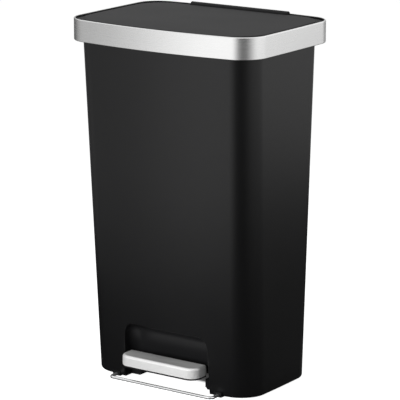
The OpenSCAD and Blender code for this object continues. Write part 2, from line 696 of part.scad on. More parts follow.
lid_edge = 0.8;                             // rounding of the lid's upper edges
panel_slope = 2.6;                          // how far the raised panel's edge leans in
lid_rear = hinge_y - knuckle_r - 0.6;       // rear edge of the lid plate along the hinge
hinge_room = 1.5;                           // room of the lid's notch round the hinge rail
rail_depth = 24;                            // hinge rail, front to back
rail_z = border_low - seat - rail_t;        // underside of the hinge rail
head_w = 7.6;                               // thickness of the rod head between the lugs
lug_x0 = head_w / 2 + 0.8;
lug_x1 = lug_x0 + 4.2;
lug_wall = 3;                               // wall of the lugs and the rod head round their holes
liner_post_r = screw_r + 2.2;               // posts that the liner is screwed to

function lid_plan(inset) = rim_plan(lid_inset + inset);
function panel_plan(inset) = let (i = lid_inset + border_w + inset)
    plan(rim_w - 2 * i, rim_d - 2 * i, panel_r - inset);

module lid_panel() color(charcoal) in_frame() difference() {
    union() {
        loft([ring(lid_plan(0), border_low), ring(lid_plan(0), border_z - lid_edge),
              ring(lid_plan(lid_edge), border_z)]);
        loft([ring(panel_plan(0), border_z - eps),
              ring(panel_plan(panel_slope / 2), panel_z - lid_edge),
              ring(panel_plan(panel_slope), panel_z)]);
        difference() {
            prism(lid_plan(skirt_inset), skirt_z, border_low + eps);
            prism(lid_plan(skirt_inset + lid_t), skirt_z - 1, border_low + 1);
        }
        for (p = liner_screw_xy) upright(liner_post_r, p[0], p[1], skirt_z + lid_t + seat, border_z);
    }
    // Hollow below the raised panel, around the posts that the liner is screwed to
    difference() {
        loft([ring(panel_plan(panel_slope), border_low - 1), ring(panel_plan(panel_slope), border_z - 1),
              ring(panel_plan(panel_slope + 2), panel_z - lid_t)]);
        for (p = liner_screw_xy) upright(liner_post_r, p[0], p[1], 0, can_h);
    }
    // Room for the hinge line
    box([-hinge_w / 2 - hinge_room, lid_rear, 0], [hinge_w / 2 + hinge_room, rim_back + 1, can_h + far]);
    box([-hinge_w / 2 - hinge_room, lid_rear - rail_depth - 1, 0],
        [hinge_w / 2 + hinge_room, rim_back, border_low - eps]);
    for (p = liner_screw_xy) upright(screw_r + run, p[0], p[1], 0, border_low - 0.2);
    for (p = hinge_screw_xy) upright(screw_r + run, p[0], p[1], 0, border_z - lid_edge);
}

liner_screw_x = rim_w / 2 - 30;
liner_screw_xy = [for (s = [-1, 1]) each [[s * liner_screw_x, -rim_d / 2 + 51.5],
    [s * liner_screw_x, rim_d / 2 - 57.5], [s * liner_screw_x * 5 / 12, -rim_d / 2 + 11.5]]];
hinge_screw_xy = [for (s = [-1, 1], x = [fixed_x0 - 12, hinge_w / 2 - 14])
    [s * x, lid_rear - screw_head_r - 0.2]];

module lid_liner() color(black) in_frame() difference() {
    prism(lid_plan(skirt_inset + lid_t + seat), skirt_z, skirt_z + lid_t);
    box([-hinge_w / 2 - hinge_room - 0.5, lid_rear - rail_depth - 2, 0],
        [hinge_w / 2 + hinge_room + 0.5, rim_back, can_h]);
    for (p = liner_screw_xy) upright(screw_r + run, p[0], p[1], 0, can_h);
}

// Rail with the moving knuckles and the two lugs that hold the crank pin
module lid_hinge() color(black) in_frame() difference() {
    lug_r = cross_pin_d / 2 + lug_wall;
    union() {
        box([-hinge_w / 2, lid_rear - rail_depth, rail_z], [hinge_w / 2, lid_rear, border_low - seat]);
        for (r = [[-hinge_w / 2, -fixed_x1 - knuckle_gap],
                  [-fixed_x0 + knuckle_gap, fixed_x0 - knuckle_gap],
                  [fixed_x1 + knuckle_gap, hinge_w / 2]]) {
            knuckle(r[0], r[1]);
            side_view([[lid_rear - 1, rail_z], [hinge_y - 1, hinge_z - knuckle_r - 1.2],
                       [hinge_y + 1, hinge_z - knuckle_r + 0.4],
                       [hinge_y - knuckle_r + 0.8, hinge_z - 2.5],
                       [lid_rear - 1, border_low - seat]], r[0], r[1]);
        }
        both_sides() {
            along_x(lug_r, lug_x0, lug_x1, crank_y, crank_z);
            side_view([[crank_y - lug_r, crank_z], [crank_y + lug_r, crank_z],
                       [lid_rear - 2, rail_z + 1], [lid_rear - rail_depth + 1, rail_z + 1]],
                lug_x0, lug_x1);
        }
    }
    box([-lug_x0, lid_rear - rail_depth - 1, rail_z - 1], [lug_x0, lid_rear + 0.5, border_low]);
    along_x(hinge_pin_d / 2 + run, -hinge_w, hinge_w, hinge_y, hinge_z);
    along_x(cross_pin_d / 2 + run, -far, far, crank_y, crank_z);
    for (p = hinge_screw_xy) upright(screw_r + run, p[0], p[1], 0, can_h);
}

module lid_screws() color(steel) in_frame() {
    for (p = liner_screw_xy) translate([p[0], p[1], skirt_z]) pan_screw(lid_skirt - 1);
    for (p = hinge_screw_xy) translate([p[0], p[1], rail_z]) pan_screw(rail_t + lid_t - 1);
}

module crank_pin() color(steel) in_frame()
    along_x(cross_pin_d / 2, -lug_x1 - 1, lug_x1 + 1, crank_y, crank_z);

// ---------- pedal ----------

bracket_front = -tread_front + 9;
ear_front = axle_y - 34;
web_gap = 1.5;                              // from the ears to the cut in the web under the axle
tread_screw_x = tread_w / 4;
rivet_r = 2.5;
rivet_head_r = 4.5;
rivet_head_h = 1.4;
arm_front = axle_y - 46;
arm_tail = rod_foot_y + 9;
fork = 24;                                  // length of the open fork at the arm's rear end
slot_r = cross_pin_d / 2 + 0.15;
rivet_y = [axle_y - 38, axle_y - 14];

module pedal_bracket() color(black) in_frame() difference() {
    web_x = bracket_w / 2 - lever_t - web_gap;
    union() {
        box([-bracket_w / 2, bracket_front, bracket_low], [bracket_w / 2, axle_y + ear_r, bracket_top]);
        both_sides() side_view(concat([[ear_front, bracket_low], [axle_y + ear_r, bracket_low]],
                [for (a = [0:15:90]) [axle_y + ear_r * cos(a), axle_z + (ear_r - 2) * sin(a)]],
                [[ear_front + 12, bracket_top + 4]]),
            bracket_w / 2 - lever_t, bracket_w / 2);
    }
    along_x(bush_r + 0.02, -bay_w, bay_w, axle_y, axle_z);
    // Clearance of the web under the axle
    box([-web_x, axle_y - 3, 0], [web_x, axle_y + ear_r + 1, far]);
    for (x = [-tread_screw_x, tread_screw_x]) upright(screw_r + run, x, -tread_mid, 0, far);
    for (y = rivet_y) upright(rivet_r + run, 0, y, 0, far);
}

module pedal_bushes() color(nylon) in_frame() both_sides() difference() {
    union() {
        along_x(bush_r, bracket_w / 2 - lever_t, bracket_w / 2 + seat, axle_y, axle_z);
        along_x(bush_r + bush_flange, bracket_w / 2 + seat, bay_w / 2 - seat, axle_y, axle_z);
    }
    along_x(axle_d / 2 + run, 0, bay_w, axle_y, axle_z);
}

// Channel-section arm from the bracket to the push rod
module lever_arm() color(black) in_frame() difference() {
    inner = arm_w / 2 - lever_t;
    side_view([[arm_front, arm_low], [axle_y + 14, arm_low], [rod_foot_y, foot_pin_z - 8],
               [arm_tail, foot_pin_z - 4], [arm_tail, foot_pin_z + 4], [rod_foot_y, foot_pin_z + 7.5],
               [axle_y + 18, arm_top], [arm_front, arm_top]], -arm_w / 2, arm_w / 2);
    side_view([[axle_y + 6, arm_low - 10], [rod_foot_y - fork, foot_pin_z - 14],
               [rod_foot_y - fork, foot_pin_z + 2], [axle_y + 24, arm_low]], -inner, inner);
    box([-inner, rod_foot_y - fork - 0.5, 0], [inner, arm_tail + 1, far]);
    // Slots for the rod's foot pin, pointing at the axle
    translate([-arm_w, rod_foot_y, foot_pin_z]) rotate([-lever_swing / 2, 0, 0]) rotate([90, 0, 90])
        linear_extrude(2 * arm_w) slot_outline(slot_r, slot_play);
    for (y = rivet_y) upright(rivet_r + run, 0, y, 0, far);
}

module lever_rivets() color(steel) in_frame() for (y = rivet_y) {
    upright(rivet_r, 0, y, arm_low, bracket_top);
    upright(rivet_head_r, 0, y, arm_low - rivet_head_h, arm_low);
}

tread_rear_r = 4;                           // radius of the tread's rear corners
function tread_plan(inset) = let (w = tread_w / 2 - inset, f = -tread_front + inset,
        b = -tread_front + tread_depth - inset, r = max(tread_r - inset, 1),
        q = max(tread_rear_r - inset, 0.5))
    concat([for (a = [180:11.25:270]) [-w + r + r * cos(a), f + r + r * sin(a)]],
           [for (a = [270:11.25:360]) [w - r + r * cos(a), f + r + r * sin(a)]],
           [for (a = [0:22.5:90]) [w - q + q * cos(a), b - q + q * sin(a)]],
           [for (a = [90:22.5:180]) [-w + q + q * cos(a), b - q + q * sin(a)]]);

module cap_form(inset) {
    e = cap_edge;
    loft([ring(tread_plan(inset), cap_low - (inset > 0 ? 1 : 0)), ring(tread_plan(inset), tread_top - e),
          ring(tread_plan(inset + e * 0.13), tread_top - e * 0.5),
          ring(tread_plan(inset + e * 0.5), tread_top - e * 0.13 - inset * 0.5),
          ring(tread_plan(inset + e), tread_top - inset)]);
}

module tread_cap() color(steel) in_frame() difference() {
    cap_form(0);
    cap_form(cap_t);
}

module tread_carrier() color(black) in_frame() difference() {
    fit = cap_t + 0.1;
    union() {
        prism(tread_plan(0.6), carrier_low, cap_low - 0.05);
        loft([ring(tread_plan(fit), cap_low - 0.06), ring(tread_plan(fit), tread_top - cap_edge),
              ring(tread_plan(fit + cap_edge), tread_top - fit)]);
    }
    // Hollow underside with ribs across it
    difference() {
        prism(tread_plan(6), carrier_low + 3, tread_top - cap_edge - 3);
        for (k = [-3:3]) let (x = k * tread_w / 8) box([x - 4, -far, 0], [x + 4, 0, far]);
    }
    for (x = [-tread_screw_x, tread_screw_x])
        upright(screw_r + run, x, -tread_mid, 0, bracket_low + tread_screw_len + hole_spare);
}

tread_screw_len = lever_t + 9;
module tread_screws() color(steel) in_frame() for (x = [-tread_screw_x, tread_screw_x])
    translate([x, -tread_mid, bracket_low]) pan_screw(tread_screw_len);

// ---------- push rod ----------

rod_low = foot_pin_z - rod_d / 2 - 2.5;
rod_high = crank_z - cross_pin_d / 2 - 6;   // top of the rod's shoulder in its head
head_socket = 3;                            // how far the rod's end goes up into the head
module push_rod() color(steel) in_frame() difference() {
    on_back() upright(rod_d / 2, 0, rod_back, rod_low, rod_high + head_socket);
    along_x(cross_pin_d / 2 + run, -far, far, rod_foot_y, foot_pin_z);
}

// Flat head with a level slot, so the crank pin can sway as the lid turns
module rod_head() color(nylon) in_frame() {
    y = rod_y0 + back_slope * crank_z;
    r = cross_pin_d / 2 + crank_lift_error + 0.15;
    half = crank_sway / 2 + cross_pin_d / 2 + 0.6 - r;
    stem = rod_d / 2 + 2.6;
    difference() {
        union() {
            translate([-head_w / 2, y, crank_z]) rotate([90, 0, 90])
                linear_extrude(head_w) slot_outline(r + lug_wall, half);
            box([-head_w / 2, y - stem, rod_high - 8], [head_w / 2, y + stem, crank_z]);
        }
        translate([-head_w, y, crank_z]) rotate([90, 0, 90])
            linear_extrude(2 * head_w) slot_outline(r, half);
        on_back() upright(rod_d / 2 + run, 0, rod_back, rod_high - 20, rod_high + head_socket + run);
    }
}

pin_end = 1.5;                              // how far the foot pin shows past the lever
module rod_foot_pin() color(steel) in_frame()
    along_x(cross_pin_d / 2, -arm_w / 2 - pin_end, arm_w / 2 + pin_end, rod_foot_y, foot_pin_z);

body_shell();
base_frame();
base_screws();
rubber_feet();
stabiliser_wire();
wire_clamps();
pedal_axle();
axle_clips();
rod_guides();
rod_cover();
rod_cover_screws();
rim_collar();
rim_band();
collar_screws();
lid_bumpers();
hinge_bracket();
hinge_bracket_screws();
hinge_pin();
lid_panel();
lid_liner();
lid_hinge();
lid_screws();
crank_pin();
pedal_bracket();
lever_arm();
lever_rivets();
pedal_bushes();
tread_carrier();
tread_cap();
tread_screws();
push_rod();
rod_head();
rod_foot_pin();
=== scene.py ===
"""Looks of the pedal trash can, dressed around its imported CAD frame.

The can is a tapered black body with a toe recess, a steel band round the rim, an
inset hinged lid, a steel-capped pedal on a lever, a push rod behind the body and a
chromed stabiliser wire on the floor. Everything is in metres, +Z up, -Y the pedal side.
"""

from __future__ import annotations

import json
import logging
import math
from abc import ABC, abstractmethod
from dataclasses import dataclass, field, replace
from enum import Enum
from typing import Sequence

import bmesh
import bpy
from mathutils import Euler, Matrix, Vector

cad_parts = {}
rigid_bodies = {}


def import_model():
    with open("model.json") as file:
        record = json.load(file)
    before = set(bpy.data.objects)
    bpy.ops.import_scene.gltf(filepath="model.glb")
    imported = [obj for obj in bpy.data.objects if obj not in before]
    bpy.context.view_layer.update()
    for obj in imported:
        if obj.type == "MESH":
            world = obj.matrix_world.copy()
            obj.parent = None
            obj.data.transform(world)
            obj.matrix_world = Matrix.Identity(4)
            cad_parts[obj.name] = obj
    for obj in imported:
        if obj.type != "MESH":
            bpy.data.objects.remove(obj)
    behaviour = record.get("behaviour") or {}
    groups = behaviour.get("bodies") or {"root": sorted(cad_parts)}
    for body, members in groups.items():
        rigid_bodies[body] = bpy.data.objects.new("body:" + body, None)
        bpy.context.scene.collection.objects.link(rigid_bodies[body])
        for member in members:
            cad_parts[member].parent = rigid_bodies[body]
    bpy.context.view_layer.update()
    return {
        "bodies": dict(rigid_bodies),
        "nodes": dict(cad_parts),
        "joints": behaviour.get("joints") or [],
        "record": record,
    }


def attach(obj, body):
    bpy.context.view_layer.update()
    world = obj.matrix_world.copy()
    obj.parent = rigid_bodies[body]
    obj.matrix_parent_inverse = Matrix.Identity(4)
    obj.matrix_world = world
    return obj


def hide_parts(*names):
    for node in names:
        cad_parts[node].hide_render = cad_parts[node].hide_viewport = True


LOG = logging.getLogger("trash_can")

MM = 0.001
WELD = 1e-6  # corners of a CAD mesh that are closer than this are one corner
PAST = 1 * MM  # how far a cutting solid runs past what it cuts
HAIR = 0.01 * MM  # keeps two faces out of one plane
LEAN = 0.021165  # how far the body's back leans out for each metre up
SHARP = math.radians(32.0)  # edges that turn by more than this stay sharp

Point = tuple[float, float, float]
Span = tuple[float, float]
Ring = list[Vector]
Socket = bpy.types.NodeSocket


# ---------------------------------------------------------------- choices


class Body(Enum):
    """The bodies that pieces ride on."""

    CAN = "can"
    LID = "lid"
    PEDAL = "pedal"
    ROD = "rod"


class Slot(Enum):
    """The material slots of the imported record."""

    BLACK = "black_plastic"
    CHARCOAL = "charcoal_plastic"
    STEEL = "brushed_steel"
    CHROME = "chrome_wire"
    ZINC = "zinc_steel"
    COATED = "black_steel"
    RUBBER = "rubber"
    NYLON = "natural_nylon"


class Solid(Enum):
    """How one closed mesh is combined with another."""

    JOIN = "UNION"
    CUT = "DIFFERENCE"
    KEEP = "INTERSECT"


# ---------------------------------------------------------------- outlines


@dataclass(frozen=True)
class Plan:
    """A rounded rectangle seen from above, with each of its sides swollen outwards.

    The steps are the number of segments in a corner, along the front and back, and
    along a side.
    """

    width: float
    depth: float
    radius: float
    y: float = 0.0
    front_bow: float = 18 * MM
    back_bow: float = 9 * MM
    side_bow: float = 1.3 * MM
    corner_steps: int = 20
    long_steps: int = 40
    side_steps: int = 14

    def inset(self, by: float) -> "Plan":
        """The same outline moved in by a distance on every side."""
        return replace(self, width=self.width - 2 * by, depth=self.depth - 2 * by,
                       radius=self.radius - by)

    def ring(self, z: float) -> Ring:
        """The outline as a closed ring of points at one height.

        Args:
            z: Height of the ring.

        Returns:
            The points, counter-clockwise seen from above, from the front right corner.
        """
        half_w, half_d, r = self.width / 2, self.depth / 2, self.radius
        square: list[tuple[float, float]] = []
        corners = ((1, -1, -90.0), (1, 1, 0.0), (-1, 1, 90.0), (-1, -1, 180.0))
        for at, (sx, sy, start) in enumerate(corners):
            cx, cy = sx * (half_w - r), sy * (half_d - r)
            for i in range(self.corner_steps + 1):
                turn = math.radians(start + 90.0 * i / self.corner_steps)
                square.append((cx + r * math.cos(turn), cy + r * math.sin(turn)))
            steps = self.side_steps if at in (0, 2) else self.long_steps
            nsx, nsy, nstart = corners[(at + 1) % 4]
            turn = math.radians(nstart)
            nx = nsx * (half_w - r) + r * math.cos(turn)
            ny = nsy * (half_d - r) + r * math.sin(turn)
            x, y = square[-1]
            square += [(x + (nx - x) * i / steps, y + (ny - y) * i / steps)
                       for i in range(1, steps)]
        return [Vector((*self.swell(x, y), z)) for x, y in square]

    def swell(self, x: float, y: float) -> tuple[float, float]:
        """A point of the plain rounded rectangle, moved out by the bows.

        Args:
            x: Its place across, from the middle plane.
            y: Its place along, from the outline's middle.

        Returns:
            Where the point ends up, in the can's frame.
        """
        across = 1 - (2 * x / self.width) ** 2
        along = 1 - (2 * y / self.depth) ** 2
        bow = self.front_bow if y < 0 else self.back_bow
        return (x * (1 + 2 * self.side_bow / self.width * along),
                self.y + y * (1 + 2 * bow / self.depth * across))

    def front(self, x: float) -> float:
        """Where the front of the outline lies at a distance from the middle plane."""
        return self.swell(x, -self.depth / 2)[1]


@dataclass(frozen=True)
class Taper:
    """The body's outline at every height, between its foot and the steel band."""

    foot: Plan
    top: Plan
    z_foot: float
    z_top: float

    def at(self, z: float, inset: float = 0.0) -> Plan:
        """The outline at one height.

        Args:
            z: Height above the floor.
            inset: How far in from the outer face.

        Returns:
            The outline there.
        """
        share = (z - self.z_foot) / (self.z_top - self.z_foot)
        mixed = {name: getattr(self.foot, name) * (1 - share) + getattr(self.top, name) * share
                 for name in ("width", "depth", "radius", "y")}
        return replace(self.foot, **mixed).inset(inset)


# ---------------------------------------------------------------- mesh tools


def new_object(name: str, mesh: bpy.types.Mesh) -> bpy.types.Object:
    """Links a mesh to the scene as a new object at the origin.

    Args:
        name: The object's name.
        mesh: Its mesh.

    Returns:
        The object.
    """
    piece = bpy.data.objects.new(name, mesh)
    bpy.context.scene.collection.objects.link(piece)
    return piece


def plain_mesh(name: str, bm: bmesh.types.BMesh) -> bpy.types.Mesh:
    """Turns a bmesh, which is used up, into a mesh.

    Args:
        name: The mesh's name.
        bm: The bmesh.

    Returns:
        The mesh.
    """
    mesh = bpy.data.meshes.new(name)
    bm.to_mesh(mesh)
    bm.free()
    return mesh


def from_bmesh(name: str, bm: bmesh.types.BMesh) -> bpy.types.Object:
    """Turns a bmesh into an object, with its normals facing out."""
    bmesh.ops.recalc_face_normals(bm, faces=bm.faces)
    return new_object(name, plain_mesh(name, bm))


def join_rows(bm: bmesh.types.BMesh, rows: Sequence[Sequence[bmesh.types.BMVert]]) -> None:
    """Makes the faces between each closed row of corners and the next.

    Args:
        bm: The bmesh that the corners are in.
        rows: The rows, with the same number of corners in each.
    """
    for low, high in zip(rows, rows[1:]):
        for i in range(len(low)):
            j = (i + 1) % len(low)
            bm.faces.new((low[i], low[j], high[j], high[i]))


def loft(name: str, rings: Sequence[Ring]) -> bpy.types.Object:
    """A closed solid through rings that have the same number of points.

    Args:
        name: The object's name.
        rings: The rings, from one end of the solid to the other.

    Returns:
        The solid.
    """
    bm = bmesh.new()
    rows = [[bm.verts.new(p) for p in ring] for ring in rings]
    join_rows(bm, rows)
    bm.faces.new(list(reversed(rows[0])))
    bm.faces.new(rows[-1])
    return from_bmesh(name, bm)


def block(name: str, low: Point, high: Point) -> bpy.types.Object:
    """A box between two corners, used only to cut others.

    Args:
        name: The box's name.
        low: Its lowest corner.
        high: Its highest corner.

    Returns:
        The box.
    """
    bm = bmesh.new()
    bmesh.ops.create_cube(bm, size=1.0)
    for v in bm.verts:
        v.co = Vector([low[k] + (v.co[k] + 0.5) * (high[k] - low[k]) for k in range(3)])
    return from_bmesh(name, bm)


def pillar(name: str, middle: Vector, radius: float, low: float, high: float) -> bpy.types.Object:
    """An upright round solid.

    Args:
        name: The solid's name.
        middle: A point of its axis.
        radius: Its radius.
        low: The height of its foot.
        high: The height of its top.

    Returns:
        The solid.
    """
    bm = bmesh.new()
    bmesh.ops.create_cone(bm, cap_ends=True, segments=32, radius1=radius, radius2=radius,
                          depth=high - low)
    bmesh.ops.translate(bm, verts=bm.verts, vec=(middle.x, middle.y, (low + high) / 2))
    return from_bmesh(name, bm)


def evaluated(piece: bpy.types.Object) -> bpy.types.Mesh:
    """The mesh that a piece's modifiers give, as a plain mesh.

    Args:
        piece: The piece.

    Returns:
        A new mesh.
    """
    graph = bpy.context.evaluated_depsgraph_get()
    graph.update()
    return bpy.data.meshes.new_from_object(piece.evaluated_get(graph), depsgraph=graph)


def settle(piece: bpy.types.Object) -> bpy.types.Object:
    """Applies a piece's modifiers to its mesh and removes them.

    Args:
        piece: The piece.

    Returns:
        The same piece.
    """
    mesh = evaluated(piece)
    piece.modifiers.clear()
    piece.data = mesh
    mesh.name = piece.name
    return piece


def combine(piece: bpy.types.Object, how: Solid, *others: bpy.types.Object) -> bpy.types.Object:
    """Joins, cuts or trims a closed mesh with others, which are used up.

    Args:
        piece: The mesh that is kept.
        how: What is done with the others.
        others: The closed meshes to combine it with, one after another.

    Returns:
        The piece.
    """
    for other in others:
        step = piece.modifiers.new("solid", "BOOLEAN")
        step.operation = how.value
        step.solver = "MANIFOLD"
        step.object = other
        settle(piece)
        bpy.data.objects.remove(other, do_unlink=True)
    return piece


def smooth(piece: bpy.types.Object) -> bpy.types.Object:
    """Shades a piece smooth, with its sharp edges kept and its large faces flat.

    Args:
        piece: The piece.

    Returns:
        The same piece.
    """
    piece.data.shade_smooth()
    piece.data.set_sharp_from_angle(angle=SHARP)
    weigh = piece.modifiers.new("weigh", "WEIGHTED_NORMAL")
    weigh.keep_sharp = True
    weigh.weight = 80
    return settle(piece)


def merged(node: bpy.types.Object) -> bmesh.types.BMesh:
    """A CAD node's mesh with its loose triangles merged into one skin.

    Args:
        node: The CAD node, which is left as it is.

    Returns:
        The merged mesh, as a bmesh of its own.
    """
    bm = bmesh.new()
    bm.from_mesh(node.data)
    bmesh.ops.remove_doubles(bm, verts=bm.verts, dist=WELD)
    return bm


def cad_copy(name: str, node: bpy.types.Object) -> bpy.types.Object:
    """A merged copy of a CAD node's mesh, without its normals and its material.

    Args:
        name: The copy's name.
        node: The CAD node, which is left as it is.

    Returns:
        The copy.
    """
    mesh = plain_mesh(name, merged(node))
    if "custom_normal" in mesh.attributes:
        mesh.attributes.remove(mesh.attributes["custom_normal"])
    mesh.materials.clear()
    return new_object(name, mesh)


def boxes_of(node: bpy.types.Object) -> list[tuple[Vector, Vector]]:
    """The lowest and highest corner of each separate solid in a CAD node.

    Args:
        node: The CAD node.

    Returns:
        A pair of corners for each solid, from the left to the right.
    """
    bm = merged(node)
    left = set(bm.verts)
    found: list[tuple[Vector, Vector]] = []
    while left:
        reach = [left.pop()]
        low, high = reach[0].co.copy(), reach[0].co.copy()
        while reach:
            v = reach.pop()
            low = Vector(map(min, low, v.co))
            high = Vector(map(max, high, v.co))
            near = [e.other_vert(v) for e in v.link_edges]
            fresh = [u for u in near if u in left]
            left.difference_update(fresh)
            reach += fresh
        found.append((low, high))
    bm.free()
    return sorted(found, key=lambda b: tuple(round(c, 5) for c in b[0]))


# ---------------------------------------------------------------- finishes


def shade(colour: Point, by: float) -> Point:
    """A colour made lighter or darker by a factor."""
    return tuple(c * by for c in colour)


class Nodes:
    """Adds nodes to a tree and links them."""

    def __init__(self, tree: bpy.types.NodeTree) -> None:
        """Keeps the tree that the nodes go into."""
        self.tree = tree

    def link(self, a: Socket, b: Socket) -> None:
        """Links an output to an input."""
        self.tree.links.new(a, b)

    def feed(self, socket: Socket, value: object) -> None:
        """Links an output to an input, or sets the input to a plain value.

        Args:
            socket: The input.
            value: The output or the value.
        """
        if isinstance(value, Socket):
            self.link(value, socket)
        else:
            socket.default_value = value

    def add(self, kind: str, options: dict | None = None, **inputs: object) -> bpy.types.Node:
        """Adds a node.

        Args:
            kind: The node's type.
            options: Its own properties.
            inputs: Sockets to link or values to set, with _ for a space in their names.

        Returns:
            The node.
        """
        node = self.tree.nodes.new(kind)
        for key, value in (options or {}).items():
            setattr(node, key, value)
        for key, value in inputs.items():
            self.feed(node.inputs[key.replace("_", " ")], value)
        return node

    def maths(self, operation: str, *values: float | Socket) -> Socket:
        """One step of arithmetic on sockets and numbers.

        Args:
            operation: The name of the Math node's operation.
            values: What goes into the node, in its order.

        Returns:
            The result.
        """
        node = self.add("ShaderNodeMath", {"operation": operation})
        for socket, value in zip(node.inputs, values):
            self.feed(socket, value)
        return node.outputs[0]

    def seen_directly(self) -> Socket:
        """A socket that is 1 for what the camera, mirrors and glass see.

        Returns:
            The socket.
        """
        path = self.add("ShaderNodeLightPath").outputs
        seen = self.maths("MAXIMUM", path["Is Camera Ray"], path["Is Glossy Ray"])
        return self.maths("MAXIMUM", seen, path["Is Transmission Ray"])


class Shader(Nodes):
    """The nodes of one material, round a Principled BSDF."""

    def __init__(self, name: str) -> None:
        """Starts an empty material with a Principled BSDF.

        Args:
            name: The material's name.
        """
        self.material = bpy.data.materials.new(name)
        self.material.use_nodes = True
        super().__init__(self.material.node_tree)
        self.tree.nodes.clear()
        self.out = self.add("ShaderNodeOutputMaterial")
        self.bsdf = self.add("ShaderNodeBsdfPrincipled")
        self.show(self.bsdf)

    def show(self, node: bpy.types.Node) -> None:
        """Makes a shader node the material's surface."""
        self.link(node.outputs[0], self.out.inputs["Surface"])

    def set(self, **sockets: object) -> None:
        """Sets or links the Principled BSDF's sockets, with _ for a space in their names."""
        for name, value in sockets.items():
            self.feed(self.bsdf.inputs[name.replace("_", " ")], value)

    def coordinates(self) -> Socket:
        """The Object coordinates."""
        return self.add("ShaderNodeTexCoord").outputs["Object"]

    def place(self) -> list[Socket]:
        """The x, y and z of the Object coordinates."""
        return list(self.add("ShaderNodeSeparateXYZ", Vector=self.coordinates()).outputs)

    def noise(self, scale: float, stretch: Point = (1, 1, 1), detail: float = 2.0,
              roughness: float = 0.5) -> Socket:
        """A noise on Object coordinates.

        Args:
            scale: Ripples per metre.
            stretch: How much each axis is scaled before the noise.
            detail: Octaves of the noise.
            roughness: Strength of its finer octaves.

        Returns:
            The noise's value, from 0 to 1.
        """
        mapping = self.add("ShaderNodeMapping", Vector=self.coordinates(), Scale=stretch)
        noise = self.add("ShaderNodeTexNoise", Vector=mapping.outputs["Vector"], Scale=scale,
                         Detail=detail, Roughness=roughness)
        return noise.outputs["Fac"]

    def between(self, value: Socket, low: float, high: float, spread: Span = (0.3, 0.7)) -> Socket:
        """Maps a value to a range, within which it is held.

        Args:
            value: The value, which is often a noise.
            low: The result at the low end of the spread.
            high: The result at its high end.
            spread: The part of the value that is stretched over the range.

        Returns:
            The mapped value.
        """
        node = self.add("ShaderNodeMapRange", Value=value, From_Min=spread[0], From_Max=spread[1],
                        To_Min=low, To_Max=high)
        return node.outputs["Result"]

    def tint(self, value: Socket, colour: Point, dark: float, light: float) -> None:
        """Colours the surface between two tones of a colour.

        Args:
            value: 0 for the dark tone, 1 for the light one.
            colour: The colour.
            dark: The dark tone, as a factor on the colour.
            light: The light tone, as a factor.
        """
        mix = self.add("ShaderNodeMix", {"data_type": "RGBA"}, Factor=value,
                       A=(*shade(colour, dark), 1), B=(*shade(colour, light), 1))
        self.set(Base_Color=mix.outputs["Result"])

    def bump(self, height: Socket, depth: float, strength: float) -> None:
        """Raises the surface by a height of 0 to 1 times a depth in metres."""
        node = self.add("ShaderNodeBump", Height=height, Distance=depth, Strength=strength)
        self.set(Normal=node.outputs["Normal"])


class Finish(ABC):
    """A finish that can be put on pieces."""

    @abstractmethod
    def material(self) -> bpy.types.Material:
        """Builds the finish's material."""


@dataclass(frozen=True)
class MouldedPlastic(Finish):
    """Satin moulded plastic: a fine spark-eroded grain and slow changes of gloss.

    The walls of the toe recess get painted light: they are painted paler where the toe's painted light
    tone is over the light one.
    """

    name: str
    colour: Point
    roughness: float
    specular: float
    grain: float = 1400.0
    grain_depth: float = 0.03 * MM
    dark: float = 0.93
    light: float = 1.07
    uneven: float = 0.03
    # painted light: how much paler the walls of the toe recess are painted, and where
    toe_painted_light_tone: float = 1.07
    toe_painted_light_side: Span = (88.5 * MM, 92 * MM)
    toe_painted_light_top: Span = (102 * MM, 105.5 * MM)
    toe_painted_light_front: Span = (-100 * MM, -90 * MM)

    def toe_painted_light_mask(self, s: Shader) -> Socket:
        """A socket that is 1 on the walls of the toe recess, where light is painted, and 0 on the rest
        of the body.

        Args:
            s: The plastic's nodes.

        Returns:
            The socket.
        """
        x, y, z = s.place()
        beside = s.between(s.maths("ABSOLUTE", x), 1.0, 0.0, self.toe_painted_light_side)
        above = s.between(z, 1.0, 0.0, self.toe_painted_light_top)
        inward = s.between(y, 0.0, 1.0, self.toe_painted_light_front)
        return s.maths("MULTIPLY", s.maths("MULTIPLY", beside, above), inward)

    def material(self) -> bpy.types.Material:
        """Builds the plastic.

        Returns:
            The material.
        """
        s = Shader(self.name)
        share = (self.light - self.dark) / (self.toe_painted_light_tone - self.dark)
        pale = s.between(s.noise(9.0, detail=3.0), 0.0, share)
        # painted light: the toe recess walls are painted paler, standing in for light bounced into the
        # recess
        if self.toe_painted_light_tone > self.light:
            pale = s.maths("ADD", pale, s.maths("MULTIPLY", self.toe_painted_light_mask(s), 1 - share))
        s.tint(pale, self.colour, self.dark, self.toe_painted_light_tone)
        gloss = s.between(s.noise(260.0), self.roughness - self.uneven, self.roughness + self.uneven)
        s.set(Specular_IOR_Level=self.specular, IOR=1.5, Roughness=gloss)
        s.bump(s.noise(self.grain, roughness=0.6), self.grain_depth, 0.5)
        return s.material


@dataclass(frozen=True)
class BrushedSteel(Finish):
    """Stainless sheet brushed along its length, with fine lines and a soft gloss."""

    name: str
    colour: Point
    roughness: float
    lines: Point
    anisotropy: float = 0.5
    metallic: float = 1.0
    depth: float = 0.0035 * MM
    dark: float = 0.98
    light: float = 1.015
    lined: float = 0.03
    clouded: float = 0.02

    def material(self) -> bpy.types.Material:
        """Builds the steel.

        Returns:
            The material.
        """
        s = Shader(self.name)
        fine = s.noise(1.0, self.lines, detail=4.0, roughness=0.7)
        s.tint(s.between(fine, 0.0, 1.0), self.colour, self.dark, self.light)
        cloud = s.between(s.noise(14.0), self.roughness - self.clouded, self.roughness + self.clouded)
        gloss = s.maths("ADD", s.between(fine, -self.lined, self.lined), cloud)
        s.set(Metallic=self.metallic, Anisotropic=self.anisotropy, Roughness=gloss)
        s.bump(fine, self.depth, 0.6)
        return s.material


